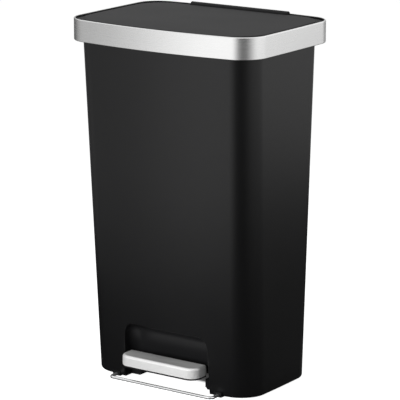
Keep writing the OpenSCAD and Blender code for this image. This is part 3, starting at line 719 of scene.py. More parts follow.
@dataclass(frozen=True)
class Plating(Finish):
    """A bright plated or coated metal, with a slight orange peel."""

    name: str
    colour: Point
    roughness: float
    metallic: float = 1.0
    peel: float = 180.0
    peel_depth: float = 0.01 * MM
    dark: float = 0.94
    light: float = 1.04
    uneven: float = 0.15

    def material(self) -> bpy.types.Material:
        """Builds the plating.

        Returns:
            The material.
        """
        s = Shader(self.name)
        cloud = s.noise(60.0, detail=3.0)
        s.tint(s.between(cloud, 0.0, 1.0), self.colour, self.dark, self.light)
        gloss = s.between(cloud, self.roughness * (1 - self.uneven), self.roughness * (1 + self.uneven))
        s.set(Metallic=self.metallic, Roughness=gloss)
        s.bump(s.noise(self.peel, detail=1.0), self.peel_depth, 0.4)
        return s.material


@dataclass(frozen=True)
class SoftRubber(Finish):
    """Matte rubber with a dusty, slightly uneven surface."""

    name: str
    colour: Point
    dark: float = 0.8
    light: float = 1.25
    dust_depth: float = 0.04 * MM

    def material(self) -> bpy.types.Material:
        """Builds the rubber.

        Returns:
            The material.
        """
        s = Shader(self.name)
        s.set(Roughness=0.75, Specular_IOR_Level=0.3)
        dust = s.noise(320.0, detail=4.0)
        s.tint(s.between(dust, 0.0, 1.0), self.colour, self.dark, self.light)
        s.bump(dust, self.dust_depth, 0.6)
        return s.material


FINISHES: dict[str, Finish] = {
    # the body's toe tone paints light onto the walls of the toe recess
    "body": MouldedPlastic("body_black", (0.005, 0.005, 0.0053), 0.34, 0.38, toe_painted_light_tone=2.1),
    "inner": MouldedPlastic("inner_black", (0.009, 0.009, 0.0095), 0.5, 0.2, 900.0),
    "lid": MouldedPlastic("lid_charcoal", (0.075, 0.075, 0.0762), 0.65, 0.05, 1700.0),
    "band": BrushedSteel("band_steel", (0.81, 0.81, 0.807), 0.28, (3.0, 3.0, 2600.0)),
    "tread": BrushedSteel("tread_steel", (0.82, 0.82, 0.815), 0.42, (6.0, 1500.0, 1500.0), metallic=0.4),
    "chrome": Plating("wire_chrome", (0.92, 0.925, 0.93), 0.06, 0.78),
    "zinc": Plating("zinc_plate", (0.62, 0.63, 0.65), 0.26, peel=500.0),
    "coated": Plating("coated_steel", (0.03, 0.03, 0.032), 0.4, 0.0, peel=420.0),
    "rubber": SoftRubber("foot_rubber", (0.022, 0.022, 0.022)),
    "nylon": MouldedPlastic("nylon_natural", (0.72, 0.7, 0.63), 0.42, 0.4, 700.0),
}


@dataclass
class Shop:
    """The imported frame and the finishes, shared by every sub-assembly."""

    frame: dict
    built: dict[str, bpy.types.Material] = field(default_factory=dict)

    def finish(self, name: str) -> bpy.types.Material:
        """The material of a finish, built the first time that it is asked for.

        Args:
            name: The finish's name.

        Returns:
            The material.
        """
        if name not in self.built:
            self.built[name] = FINISHES[name].material()
        return self.built[name]

    def node(self, name: str) -> bpy.types.Object:
        """A CAD node's object."""
        return self.frame["nodes"][name]

    def paint(self, piece: bpy.types.Object, finish: str) -> None:
        """Puts one finish on a whole piece.

        Args:
            piece: The piece.
            finish: The finish's name.
        """
        material = self.finish(finish)
        if not piece.material_slots:
            piece.data.materials.append(material)
        for held in piece.material_slots:
            held.material = material

    def place(self, piece: bpy.types.Object, body: Body, slot: Slot, finish: str,
              *nodes: str) -> bpy.types.Object:
        """Finishes a new piece and hands it to the frame.

        Args:
            piece: The new piece, in place.
            body: The body that it rides on.
            slot: The record's slot of its finish. Not used.
            finish: The finish's name.
            nodes: The CAD nodes that it stands for.

        Returns:
            The piece.
        """
        self.paint(piece, finish)
        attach(piece, body.value)
        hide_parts(*nodes)
        LOG.info("%s rides on %s for %s", piece.name, body.value, ", ".join(nodes))
        return piece

    def smoothed(self, name: str, node: str, body: Body, slot: Slot,
                 finish: str) -> bpy.types.Object:
        """A smoothly shaded copy of a CAD node, which it replaces."""
        return self.place(smooth(cad_copy(name, self.node(node))), body, slot, finish, node)


# ---------------------------------------------------------------- node trees


class GeometryTree(Nodes):
    """A Geometry Nodes tree with named inputs, run once to make a plain mesh."""

    def __init__(self, name: str, **sizes: float) -> None:
        """Starts the tree.

        Args:
            name: The tree's name.
            sizes: Its named inputs, with their values.
        """
        super().__init__(bpy.data.node_groups.new(name, "GeometryNodeTree"))
        face = self.tree.interface
        face.new_socket("Geometry", in_out="INPUT", socket_type="NodeSocketGeometry")
        face.new_socket("Geometry", in_out="OUTPUT", socket_type="NodeSocketGeometry")
        self.sizes = sizes
        self.ids = {key: face.new_socket(key, in_out="INPUT", socket_type="NodeSocketFloat").identifier
                    for key in sizes}
        self.inputs = self.add("NodeGroupInput").outputs
        self.outputs = self.add("NodeGroupOutput").inputs

    def point(self, x: object = 0.0, y: object = 0.0, z: object = 0.0) -> Socket:
        """Adds a vector from three sockets or numbers."""
        return self.add("ShaderNodeCombineXYZ", X=x, Y=y, Z=z).outputs[0]

    def run(self, name: str, start: bpy.types.Object, made: Socket,
            material: bpy.types.Material) -> bpy.types.Object:
        """Ends the tree, runs it on a start object and keeps the plain mesh.

        Args:
            name: The name of the finished piece.
            start: The object that carries the points or the path. It is used up.
            made: The tree's last geometry.
            material: The material that the tree sets.

        Returns:
            The finished piece.
        """
        real = self.add("GeometryNodeRealizeInstances", Geometry=made)
        dressed = self.add("GeometryNodeSetMaterial", Geometry=real.outputs[0], Material=material)
        self.link(dressed.outputs[0], self.outputs[0])
        modifier = start.modifiers.new(self.tree.name, "NODES")
        modifier.node_group = self.tree
        for key, value in self.sizes.items():
            modifier[self.ids[key]] = value
        mesh = evaluated(start)
        start.modifiers.remove(modifier)
        bpy.data.objects.remove(start, do_unlink=True)
        mesh.name = name
        return new_object(name, mesh)


def path_object(name: str, points: Sequence[Vector]) -> bpy.types.Object:
    """A plain open curve through points, for a tree to sweep along.

    Args:
        name: The curve's name.
        points: Its points, from end to end.

    Returns:
        The curve as an object.
    """
    curve = bpy.data.curves.new(name, "CURVE")
    curve.dimensions = "3D"
    spline = curve.splines.new("POLY")
    spline.points.add(len(points) - 1)
    for held, p in zip(spline.points, points):
        held.co = (*p, 1.0)
    path = bpy.data.objects.new(name, curve)
    bpy.context.scene.collection.objects.link(path)
    return path


def seats_object(name: str, seats: Sequence[tuple[Vector, Vector, float]]) -> bpy.types.Object:
    """Loose vertices, for a tree to put fasteners on.

    Args:
        name: The object's name.
        seats: For each fastener its seat, the direction of its shank and the shank's length.

    Returns:
        The object, with the directions and lengths as its attributes.
    """
    mesh = bpy.data.meshes.new(name)
    mesh.from_pydata([tuple(seat) for seat, _, _ in seats], [], [])
    for kind, held in (("FLOAT_VECTOR", "axis"), ("FLOAT", "length")):
        mesh.attributes.new(held, kind, "POINT")
    for i, (_, along, shank) in enumerate(seats):
        mesh.attributes["axis"].data[i].vector = along
        mesh.attributes["length"].data[i].value = shank
    return new_object(name, mesh)


# ---------------------------------------------------------------- studio


def looking(way: Vector) -> Euler:
    """The turn that points a lamp or a camera along a way, upright."""
    return way.to_track_quat("-Z", "Y").to_euler()


@dataclass(frozen=True)
class Lamp:
    """A soft box that points at a spot on the can."""

    name: str
    place: Point
    aim: Point
    width: float
    height: float
    power: float

    def hang(self) -> bpy.types.Object:
        """Hangs the lamp, unseen by the camera and by gloss.

        Returns:
            The lamp.
        """
        light = bpy.data.lights.new(self.name, "AREA")
        light.shape = "RECTANGLE"
        light.size, light.size_y = self.width, self.height
        light.energy = self.power
        lamp = bpy.data.objects.new(self.name, light)
        bpy.context.scene.collection.objects.link(lamp)
        lamp.visible_glossy = False
        lamp.visible_camera = False
        lamp.location = self.place
        lamp.rotation_euler = looking(Vector(self.aim) - Vector(self.place))
        return lamp


@dataclass(frozen=True)
class Surround:
    """Grey flats round the can, and a floor that darkens towards it, seen only by its gloss.

    Each of the tones is a bearing in degrees, counted from the front towards the right
    side, and how bright the flats are there.
    """

    radius: float = 1.9
    height: float = 1.5
    lift: float = 1 * MM
    dark_middle: Point = (0.3, 0.43, 0.0)
    dark_near: float = 0.3
    dark_far: float = 2.3
    darkest: float = 0.04
    fall: float = 1.2
    tones: tuple[tuple[float, float], ...] = (
        (-180, 0.4), (-165, 0.7), (-150, 0.7), (-118, 0.12), (-95, 0.12), (-75, 0.38), (-57, 0.42),
        (-42, 0.54), (-35, 0.78), (-25, 1.13), (-12, 1.36), (2, 1.16), (14, 0.72), (25, 0.14), (51, 0.1),
        (64, 0.46), (86, 1.09), (130, 1.7), (147, 1.68), (157, 0.7), (180, 0.4))

    def material(self) -> bpy.types.Material:
        """A glow whose tone follows the bearing round the can and the distance from it.

        Returns:
            The material.
        """
        s = Shader("flats")
        x, y, _ = s.place()
        bearing = s.maths("ARCTAN2", x, s.maths("MULTIPLY", y, -1.0))
        ramp = s.add("ShaderNodeValToRGB", Fac=s.between(bearing, 0.0, 1.0, (-math.pi, math.pi)))
        stops = ramp.color_ramp.elements
        while len(stops) < len(self.tones):
            stops.new(0.5)
        for stop, (degrees, tone) in zip(stops, self.tones):
            stop.position = (degrees + 180) / 360
            stop.color = (tone, tone, tone, 1)
        offset = s.add("ShaderNodeVectorMath", {"operation": "DISTANCE"}, Vector=s.coordinates())
        offset.inputs[1].default_value = self.dark_middle
        away = s.between(offset.outputs["Value"], 0.0, 1.0, (self.dark_near, self.dark_far))
        strength = s.between(s.maths("POWER", away, self.fall), self.darkest, 1.0)
        s.show(s.add("ShaderNodeEmission", Color=ramp.outputs[0], Strength=strength))
        return s.material

    def stand(self) -> bpy.types.Object:
        """Stands the flats up, unseen by the camera.

        Returns:
            The flats.
        """
        bm = bmesh.new()
        bmesh.ops.create_cone(bm, cap_ends=True, segments=96, radius1=self.radius,
                              radius2=self.radius, depth=self.height)
        bmesh.ops.translate(bm, verts=bm.verts, vec=(0, 0, self.height / 2 + self.lift))
        bmesh.ops.delete(bm, geom=[f for f in bm.faces if f.calc_center_median().z > self.height],
                         context="FACES")
        flats = from_bmesh("flats", bm)
        flats.data.materials.append(self.material())
        flats.visible_camera = False
        flats.visible_shadow = False
        flats.visible_diffuse = False
        return flats


@dataclass(frozen=True)
class Studio:
    """The white surroundings, the lamps and the camera."""

    camera_place: Point = (2.35595, -3.39074, 1.31665)
    camera_look: Point = (-0.55410878, 0.79883462, -0.23415104)
    lens: float = 213.785
    far: float = 60.0
    ambient: float = 0.1
    floor_reach: float = 12.0
    floor_tone: float = 0.75
    floor_glow: float = 0.92
    # where the floor's glow is taken away, as a painted shadow under the can
    painted_shadow_side: Span = (115 * MM, 130 * MM)
    painted_shadow_front: Span = (-46 * MM, -36 * MM)
    painted_shadow_back: Span = (70 * MM, 90 * MM)
    lamps: tuple[Lamp, ...] = (
        Lamp("key_front", (-0.5, -2.0, 0.7), (0.0, 0.0, 0.2), 0.9, 0.9, 32.0),
        Lamp("top_left", (-0.55, 0.1, 1.45), (0.0, 0.0, 0.6), 0.7, 0.7, 3.4),
        Lamp("side_back", (1.7, 1.35, 1.1), (0.1, 0.0, 0.45), 0.7, 1.0, 12.0),
        Lamp("tread_low", (0.075, -0.36, 0.085), (0.03, -0.136, 0.045), 0.12, 0.05, 0.28),
    )
    surround: Surround = Surround()

    def make_camera(self) -> bpy.types.Object:
        """Makes the camera and hands it to the scene.

        Returns:
            The camera.
        """
        held = bpy.data.cameras.new("camera")
        held.lens = self.lens
        held.clip_end = self.far
        camera = bpy.data.objects.new("camera", held)
        bpy.context.scene.collection.objects.link(camera)
        camera.location = self.camera_place
        camera.rotation_euler = looking(Vector(self.camera_look))
        bpy.context.scene.camera = camera
        return camera

    def light_world(self) -> None:
        """Surrounds the can with white, and lights it evenly and faintly."""
        world = bpy.data.worlds.new("surroundings")
        world.use_nodes = True
        bpy.context.scene.world = world
        nodes = Nodes(world.node_tree)
        nodes.tree.nodes.clear()
        out = nodes.add("ShaderNodeOutputWorld")
        mix = nodes.add("ShaderNodeMixShader", Fac=nodes.seen_directly())
        for at, strength in ((1, self.ambient), (2, 1.0)):
            even = nodes.add("ShaderNodeBackground", Color=(1, 1, 1, 1), Strength=strength)
            nodes.link(even.outputs[0], mix.inputs[at])
        nodes.link(mix.outputs[0], out.inputs["Surface"])

    def lay_floor(self) -> bpy.types.Object:
        """Lays a pale floor that keeps the can's shadow, and doesn't glow under the can, where a shadow
        is painted.

        Returns:
            The floor.
        """
        reach, tone = self.floor_reach, self.floor_tone
        mesh = bpy.data.meshes.new("floor")
        mesh.from_pydata([(-reach, -reach, 0), (reach, -reach, 0), (reach, reach, 0),
                          (-reach, reach, 0)], [], [(0, 1, 2, 3)])
        floor = new_object("floor", mesh)
        s = Shader("floor_with_painted_shadow")
        s.set(Base_Color=(tone, tone, tone, 1), Roughness=1.0, Specular_IOR_Level=0.0)
        # painted shadow: the floor's glow is taken away under the can
        x, y, _ = s.place()
        beside = s.between(s.maths("ABSOLUTE", x), 0.0, 1.0, self.painted_shadow_side)
        before = s.between(y, 1.0, 0.0, self.painted_shadow_front)
        behind = s.between(y, 0.0, 1.0, self.painted_shadow_back)
        clear = s.maths("MAXIMUM", s.maths("MAXIMUM", before, behind), beside)
        glow_outside_painted_shadow = s.maths("MULTIPLY", clear, self.floor_glow)
        glow = s.add("ShaderNodeEmission", Strength=s.maths("MULTIPLY", s.seen_directly(), glow_outside_painted_shadow))
        both = s.add("ShaderNodeAddShader")
        s.link(s.bsdf.outputs[0], both.inputs[0])
        s.link(glow.outputs[0], both.inputs[1])
        s.show(both)
        mesh.materials.append(s.material)
        return floor

    def build(self) -> None:
        """Builds everything round the can but its camera."""
        bpy.context.scene.view_settings.view_transform = "Standard"
        self.light_world()
        self.lay_floor()
        for lamp in self.lamps:
            lamp.hang()
        self.surround.stand()
        LOG.info("studio: %d lamps and the surround", len(self.lamps))


# ---------------------------------------------------------------- sizes shared by the pieces


@dataclass(frozen=True)
class Layout:
    """Sizes that several sub-assemblies share, in metres.

    The shift is how far the band's middle lies behind the origin. The other places along
    y that are given here, and in the classes below, are counted from there.
    """

    shift: float = 4.5 * MM
    height: float = 650 * MM
    corner: float = 40 * MM
    foot_width: float = 347 * MM
    foot_depth: float = 192 * MM
    foot_y: float = 5 * MM
    top_width: float = 370 * MM
    top_depth: float = 233 * MM
    top_y: float = -2.6 * MM
    rim_width: float = 396 * MM
    rim_depth: float = 259 * MM
    band_low: float = 611 * MM
    body_top: float = 627.8 * MM
    ground_gap: float = 1.5 * MM
    wall: float = 2.5 * MM
    floor_z: float = 68 * MM
    rim_wall: float = 3.35 * MM
    lid_gap: float = 1.2 * MM
    axle_y: float = -23.45 * MM
    rail_front: float = 83 * MM

    @property
    def taper(self) -> Taper:
        """The body's outline at every height.

        Returns:
            The outline at the foot, at the band and between them.
        """
        foot = Plan(self.foot_width, self.foot_depth, self.corner, self.foot_y + self.shift)
        top = replace(foot, width=self.top_width, depth=self.top_depth, y=self.top_y + self.shift)
        return Taper(foot, top, self.ground_gap, self.band_low)

    @property
    def rim(self) -> Plan:
        """The outline of the steel band."""
        return Plan(self.rim_width, self.rim_depth, self.corner, self.shift)

    def front(self, x: float, z: float) -> float:
        """The y of the body's front face at a point."""
        return self.taper.at(z).front(x)

    @property
    def back_foot(self) -> float:
        """The y of the body's back at the floor, on the middle plane."""
        return self.taper.at(0.0).swell(0.0, self.taper.at(0.0).depth / 2)[1]

    def leaning_block(self, name: str, low: Point, high: Point) -> bpy.types.Object:
        """A cutting box in the frame that leans with the body's back.

        Args:
            name: The box's name.
            low: Its lowest corner, in the leaning frame.
            high: Its highest corner.

        Returns:
            The box.
        """
        piece = block(name, low, high)
        slant = math.atan(LEAN)
        for v in piece.data.vertices:
            y, z = v.co.y, v.co.z
            v.co.y = self.back_foot + y * math.cos(slant) + z * math.sin(slant)
            v.co.z = -y * math.sin(slant) + z * math.cos(slant)
        return piece


def quarter(steps: int) -> list[tuple[float, float]]:
    """Points of a rounded edge, as shares of its radius.

    Args:
        steps: Segments in the quarter turn.

    Returns:
        Pairs of how far in and how far up, from (1, 0) to (0, 1).
    """
    return [(1 - math.sin(math.pi / 2 * i / steps), 1 - math.cos(math.pi / 2 * i / steps))
            for i in range(steps + 1)]


def sweep(name: str, plan: Plan, profile: Sequence[tuple[float, float]]) -> bpy.types.Object:
    """A closed ring whose section is a polygon of insets and heights along an outline.

    Args:
        name: The ring's name.
        plan: The outline that it follows.
        profile: The section's corners, each an inset from the outline and a height.

    Returns:
        The ring.
    """
    bm = bmesh.new()
    rows = [[bm.verts.new(p) for p in plan.inset(inset).ring(z)] for inset, z in profile]
    join_rows(bm, [*rows, rows[0]])
    return from_bmesh(name, bm)


# ---------------------------------------------------------------- body


@dataclass(frozen=True)
class ToeRecess:
    """The toe space at the foot of the front, with a soft edge round its mouth."""

    layout: Layout
    half_low: float = 93 * MM
    half_high: float = 89.5 * MM
    height: float = 104 * MM
    corner: float = 21 * MM
    low_corner: float = 12 * MM
    depth_high: float = 33 * MM
    depth_low: float = 51 * MM
    mouth: float = 3 * MM
    foot_z: float = -19 * MM
    run_out: float = 8 * MM
    fillet_turn: float = math.radians(88.0)
    rise_steps: int = 10
    corner_steps: int = 14
    top_steps: int = 24
    fillet_steps: int = 9

    def outline(self, offset: float, shrink: float = 0.0) -> list[tuple[float, float, float]]:
        """The recess's section across the can.

        Args:
            offset: How far the section is moved out on every side.
            shrink: How far round the rear fillet the section is, from 0 to a right angle.

        Returns:
            Points of x, z and the local fillet radius, from the right foot over the top.
        """
        cx, cz = self.half_high - self.corner, self.height - self.corner
        lean = math.atan((self.half_low - self.half_high) / (cz - self.foot_z))
        inward = 1 - math.cos(shrink)
        right: list[tuple[float, float, float]] = []
        for i in range(self.rise_steps):
            share = i / self.rise_steps
            z = self.foot_z + (cz + self.corner * math.sin(lean) - self.foot_z) * share
            x = self.half_low - (z - self.foot_z) * math.tan(lean)
            r = self.low_corner + (self.corner - self.low_corner) * share
            out = offset - (r + offset) * inward
            right.append((x + out * math.cos(lean), z + out * math.sin(lean), r))
        for i in range(self.corner_steps + 1):
            turn = lean + (math.pi / 2 - lean) * i / self.corner_steps
            out = offset - (self.corner + offset) * inward
            right.append((cx + (self.corner + out) * math.cos(turn),
                          cz + (self.corner + out) * math.sin(turn), self.corner))
        inner = right[-1][0]
        across = [(inner * (1 - 2 * i / self.top_steps), right[-1][1], self.corner)
                  for i in range(1, self.top_steps)]
        return right + across + [(-x, z, r) for x, z, r in reversed(right)]

    def back(self, z: float) -> float:
        """The y of the recess's rear wall at a height.

        Args:
            z: Height above the floor.

        Returns:
            The y of the wall.
        """
        high = self.layout.front(0, self.height) + self.depth_high
        low = self.layout.front(0, 0) + self.depth_low
        top = self.height - self.corner
        return low + (high - low) * (z - self.foot_z) / (top - self.foot_z)

    def solid(self, name: str, grow: float = 0.0) -> bpy.types.Object:
        """The recess as a solid that runs out through the front.

        Args:
            name: The solid's name.
            grow: A wall's thickness for its moulding, or 0 for the space itself.

        Returns:
            The solid.
        """
        front = self.layout.front
        rings = [[Vector((x, front(x, z) - self.run_out, z))
                  for x, z, _ in self.outline(grow or self.mouth)]]
        if not grow:
            rings += [[Vector((x, front(x, z) + self.mouth * deep, z))
                       for x, z, _ in self.outline(self.mouth * side)] for side, deep in quarter(8)]
        for i in range(self.fillet_steps + 1):
            turn = self.fillet_turn * i / self.fillet_steps
            back = 1 - math.sin(turn)
            rings.append([Vector((x, self.back(z) + grow - (r + grow) * back, z))
                          for x, z, r in self.outline(grow, turn)])
        return loft(name, rings)


@dataclass(frozen=True)
class BodyShell:
    """The tapered black shell with its inner floor, toe recess and rod channel."""

    layout: Layout
    recess: ToeRecess
    foot_round: float = 3.8 * MM
    floor_fillet: float = 5 * MM
    channel_half: float = 17 * MM
    channel_depth: float = 22 * MM
    bay_half: float = 71 * MM
    window_top: float = 41 * MM
    rail_half: float = 91.8 * MM
    rail_top: float = 21.3 * MM
    rail_gap: float = 0.3 * MM
    notch_half: float = 8.3 * MM
    notch_x: float = 110.5 * MM
    notch_top: float = 9.8 * MM
    notch_back: float = 72 * MM
    boss_radius: float = 4.4 * MM
    boss_height: float = 24 * MM
    levels: int = 24

    def outer(self) -> bpy.types.Object:
        """The shell's outside as a solid, with its foot rounded.

        Returns:
            The solid.
        """
        taper, foot = self.layout.taper, self.layout.ground_gap
        rings = [taper.at(foot + self.foot_round * up, self.foot_round * side).ring(
            foot + self.foot_round * up) for side, up in quarter(8)]
        start, stop = foot + self.foot_round, self.layout.body_top
        for i in range(1, self.levels + 1):
            z = start + (stop - start) * i / self.levels
            rings.append(taper.at(z).ring(z))
        return loft("shell_outer", rings)

    def inner(self) -> bpy.types.Object:
        """The bag space as a solid, with a rounded edge round its floor.

        Returns:
            The solid.
        """
        taper, wall, low = self.layout.taper, self.layout.wall, self.layout.floor_z
        rings = [taper.at(low + self.floor_fillet * up, wall + self.floor_fillet * side).ring(
            low + self.floor_fillet * up) for side, up in quarter(6)]
        top = self.layout.body_top + PAST
        rings.append(taper.at(top, wall).ring(top))
        return loft("shell_inner", rings)

    def under(self) -> bpy.types.Object:
        """The space under the inner floor as a solid.

        Returns:
            The solid.
        """
        taper, wall = self.layout.taper, self.layout.wall
        return loft("shell_under", [taper.at(z, wall).ring(z)
                                    for z in (-PAST, self.layout.floor_z - wall)])

    def bosses(self, node: bpy.types.Object) -> list[bpy.types.Object]:
        """The bosses that the collar's screws go into.

        Args:
            node: The CAD node of the screws.

        Returns:
            One solid for each boss.
        """
        top = self.layout.body_top - HAIR
        return [pillar("boss", (low + high) / 2, self.boss_radius, top - self.boss_height, top)
                for low, high in boxes_of(node)]

    def build(self, shop: Shop) -> bpy.types.Object:
        """Builds the shell and dresses it.

        Args:
            shop: The frame and the finishes.

        Returns:
            The shell.
        """
        at = self.layout
        shell = combine(self.outer(), Solid.CUT, self.inner(), self.under())
        shell.name = "tapered_shell"
        half, wall, deep = self.channel_half, at.wall, self.channel_depth
        inside = [self.recess.solid("recess_wall", wall),
                  at.leaning_block("channel_wall", (-half - wall, -deep - wall, at.floor_z - wall),
                                   (half + wall, 2 * wall, at.height)),
                  *self.bosses(shop.node("collar_screws"))]
        for piece in inside:
            combine(piece, Solid.KEEP, self.outer())
        combine(shell, Solid.JOIN, *inside)
        shift = at.shift
        cuts = [self.recess.solid("recess_space"),
                at.leaning_block("channel", (-half, -deep, at.floor_z - wall - PAST),
                                 (half, deep, 2 * at.height)),
                block("window", (-self.bay_half, shift - at.rail_front, -PAST),
                      (self.bay_half, shift + at.axle_y, self.window_top)),
                block("rail_room", (-self.rail_half, shift - at.rail_front - self.rail_gap, -PAST),
                      (self.rail_half, shift + at.axle_y, self.rail_top))]
        for side in (-1, 1):
            x = side * self.notch_x
            cuts.append(block("notch", (x - self.notch_half, -at.height, -PAST),
                              (x + self.notch_half, shift - self.notch_back, self.notch_top)))
        combine(shell, Solid.CUT, *cuts)
        return shop.place(smooth(shell), Body.CAN, Slot.BLACK, "body", "body_shell")


# ---------------------------------------------------------------- rim


@dataclass(frozen=True)
class Rim:
    """The steel band round the top, with its folded lips, and the collar inside it."""

    layout: Layout
    skin: float = 0.9 * MM
    lip: float = 2.6 * MM
    round: float = 1.4 * MM

    def band(self) -> bpy.types.Object:
        """The band: a thin skin folded in over and under the collar.

        Returns:
            The band.
        """
        low, high = self.layout.band_low, self.layout.height
        profile: list[tuple[float, float]] = [(self.lip, low)]
        profile += [(self.round * side, low + self.round * up) for side, up in quarter(6)]
        profile += [(self.round * side, high - self.round * up) for side, up in reversed(quarter(6))]
        profile += [(self.lip, high), (self.lip, high - self.skin), (self.round, high - self.skin)]
        profile += [(self.skin, high - self.round), (self.skin, low + self.round)]
        profile += [(self.round, low + self.skin), (self.lip, low + self.skin)]
        return sweep("rim_band_skin", self.layout.rim, profile)

    def build(self, shop: Shop) -> None:
        """Builds the band and dresses the collar.

        Args:
            shop: The frame and the finishes.
        """
        shop.place(smooth(self.band()), Body.CAN, Slot.STEEL, "band", "rim_band")
        shop.smoothed("rim_collar_moulding", "rim_collar", Body.CAN, Slot.BLACK, "inner")


# ---------------------------------------------------------------- lid


@dataclass(frozen=True)
class Lid:
    """The inset lid: a raised panel in a narrow border, with a skirt and a liner."""

    layout: Layout
    border_z: float = 646.6 * MM
    border_low: float = 644.2 * MM
    panel_z: float = 649.4 * MM
    skirt_z: float = 635.2 * MM
    border: float = 4.5 * MM
    panel_corner: float = 50 * MM
    slope: float = 2.6 * MM
    edge: float = 0.8 * MM
    skirt_inset: float = 3 * MM
    thickness: float = 2.4 * MM
    rear: float = 119.47 * MM
    hinge_half: float = 105.5 * MM
    rail_depth: float = 25 * MM
    post_radius: float = 4 * MM
    post_gap: float = 0.3 * MM
    post_reach: float = 2 * MM
    skirt_edge: float = 0.6 * MM
    hollow_lean: float = 2 * MM
    sunk: float = 0.2 * MM
    foot_flare: float = 0.3 * MM
    foot_rise: float = 0.2 * MM
    slope_steps: int = 3

    def outline(self, inset: float) -> Plan:
        """The lid's edge, moved in."""
        return self.layout.rim.inset(self.layout.rim_wall + self.layout.lid_gap + inset)

    def panel_outline(self, inset: float) -> Plan:
        """The raised panel's edge, moved in."""
        return replace(self.outline(self.border + inset), radius=self.panel_corner - inset)

    def top(self) -> bpy.types.Object:
        """The border plate and the raised panel as one solid.

        Returns:
            The solid.
        """
        rings = [self.outline(0).ring(self.border_low)]
        rings += [self.outline(self.edge * side).ring(self.border_z - self.edge * up)
                  for side, up in reversed(quarter(4))]
        rings.append(self.panel_outline(-self.foot_flare).ring(self.border_z))
        lean = self.slope - self.edge
        rise = self.panel_z - self.edge - self.border_z - self.foot_rise
        for i in range(self.slope_steps + 1):
            share = i / self.slope_steps
            rings.append(self.panel_outline(lean * share).ring(
                self.border_z + self.foot_rise + rise * share))
        rings += [self.panel_outline(lean + self.edge * side).ring(
            self.panel_z - self.edge * up) for side, up in reversed(quarter(4)[:-1])]
        return loft("lid_top", rings)

    def hollow(self) -> bpy.types.Object:
        """The space below the raised panel.

        Returns:
            The solid.
        """
        foot = self.panel_outline(self.slope)
        top = self.panel_outline(self.slope + self.hollow_lean)
        return loft("lid_hollow", [foot.ring(self.border_low - PAST), foot.ring(self.border_z - PAST),
                                   top.ring(self.panel_z - self.thickness)])

    def posts(self, screws: bpy.types.Object) -> list[bpy.types.Object]:
        """The posts that the liner is screwed to, over the screws whose heads are at the skirt.

        Args:
            screws: The CAD node of the lid's screws.

        Returns:
            One solid for each post.
        """
        low = self.skirt_z + self.thickness + self.post_gap
        return [pillar("post", (corner + far) / 2, self.post_radius, low, self.border_z)
                for corner, far in boxes_of(screws) if abs(corner.z - self.skirt_z) <= self.post_reach]

    def panel(self, shop: Shop) -> bpy.types.Object:
        """The lid's moulding, as one solid.

        Args:
            shop: The frame and the finishes.

        Returns:
            The moulding.
        """
        at = self.layout
        top = combine(self.top(), Solid.CUT, self.hollow())
        t, low, high = self.thickness, self.skirt_z, self.border_low + self.sunk
        edge = self.skirt_edge
        skirt = sweep("lid_skirt", self.outline(self.skirt_inset), [
            (0, high), (0, low + edge), (edge, low), (t - edge, low), (t, low + edge), (t, high)])
        combine(top, Solid.JOIN, skirt, *self.posts(shop.node("lid_screws")))
        rear, far = at.shift + self.rear, at.height
        combine(top, Solid.CUT,
                block("hinge_notch", (-self.hinge_half, rear, 0), (self.hinge_half, far, 2 * far)),
                block("rail_room", (-self.hinge_half, rear - self.rail_depth, 0),
                      (self.hinge_half, far, self.border_low - HAIR)))
        top.name = "lid_moulding"
        return top

    def build(self, shop: Shop) -> None:
        """Builds the lid and dresses the parts below it.

        Args:
            shop: The frame and the finishes.
        """
        shop.place(smooth(self.panel(shop)), Body.LID, Slot.CHARCOAL, "lid", "lid_panel")
        shop.smoothed("lid_liner_sheet", "lid_liner", Body.LID, Slot.BLACK, "inner")
        shop.smoothed("lid_hinge_rail", "lid_hinge", Body.LID, Slot.BLACK, "inner")
        shop.smoothed("hinge_bracket_moulding", "hinge_bracket", Body.CAN, Slot.BLACK, "inner")
        shop.smoothed("hinge_pin_rod", "hinge_pin", Body.CAN, Slot.ZINC, "zinc")
        shop.smoothed("crank_pin_rod", "crank_pin", Body.LID, Slot.ZINC, "zinc")
        shop.smoothed("lid_bumper_pads", "lid_bumpers", Body.CAN, Slot.RUBBER, "rubber")


# ---------------------------------------------------------------- pedal


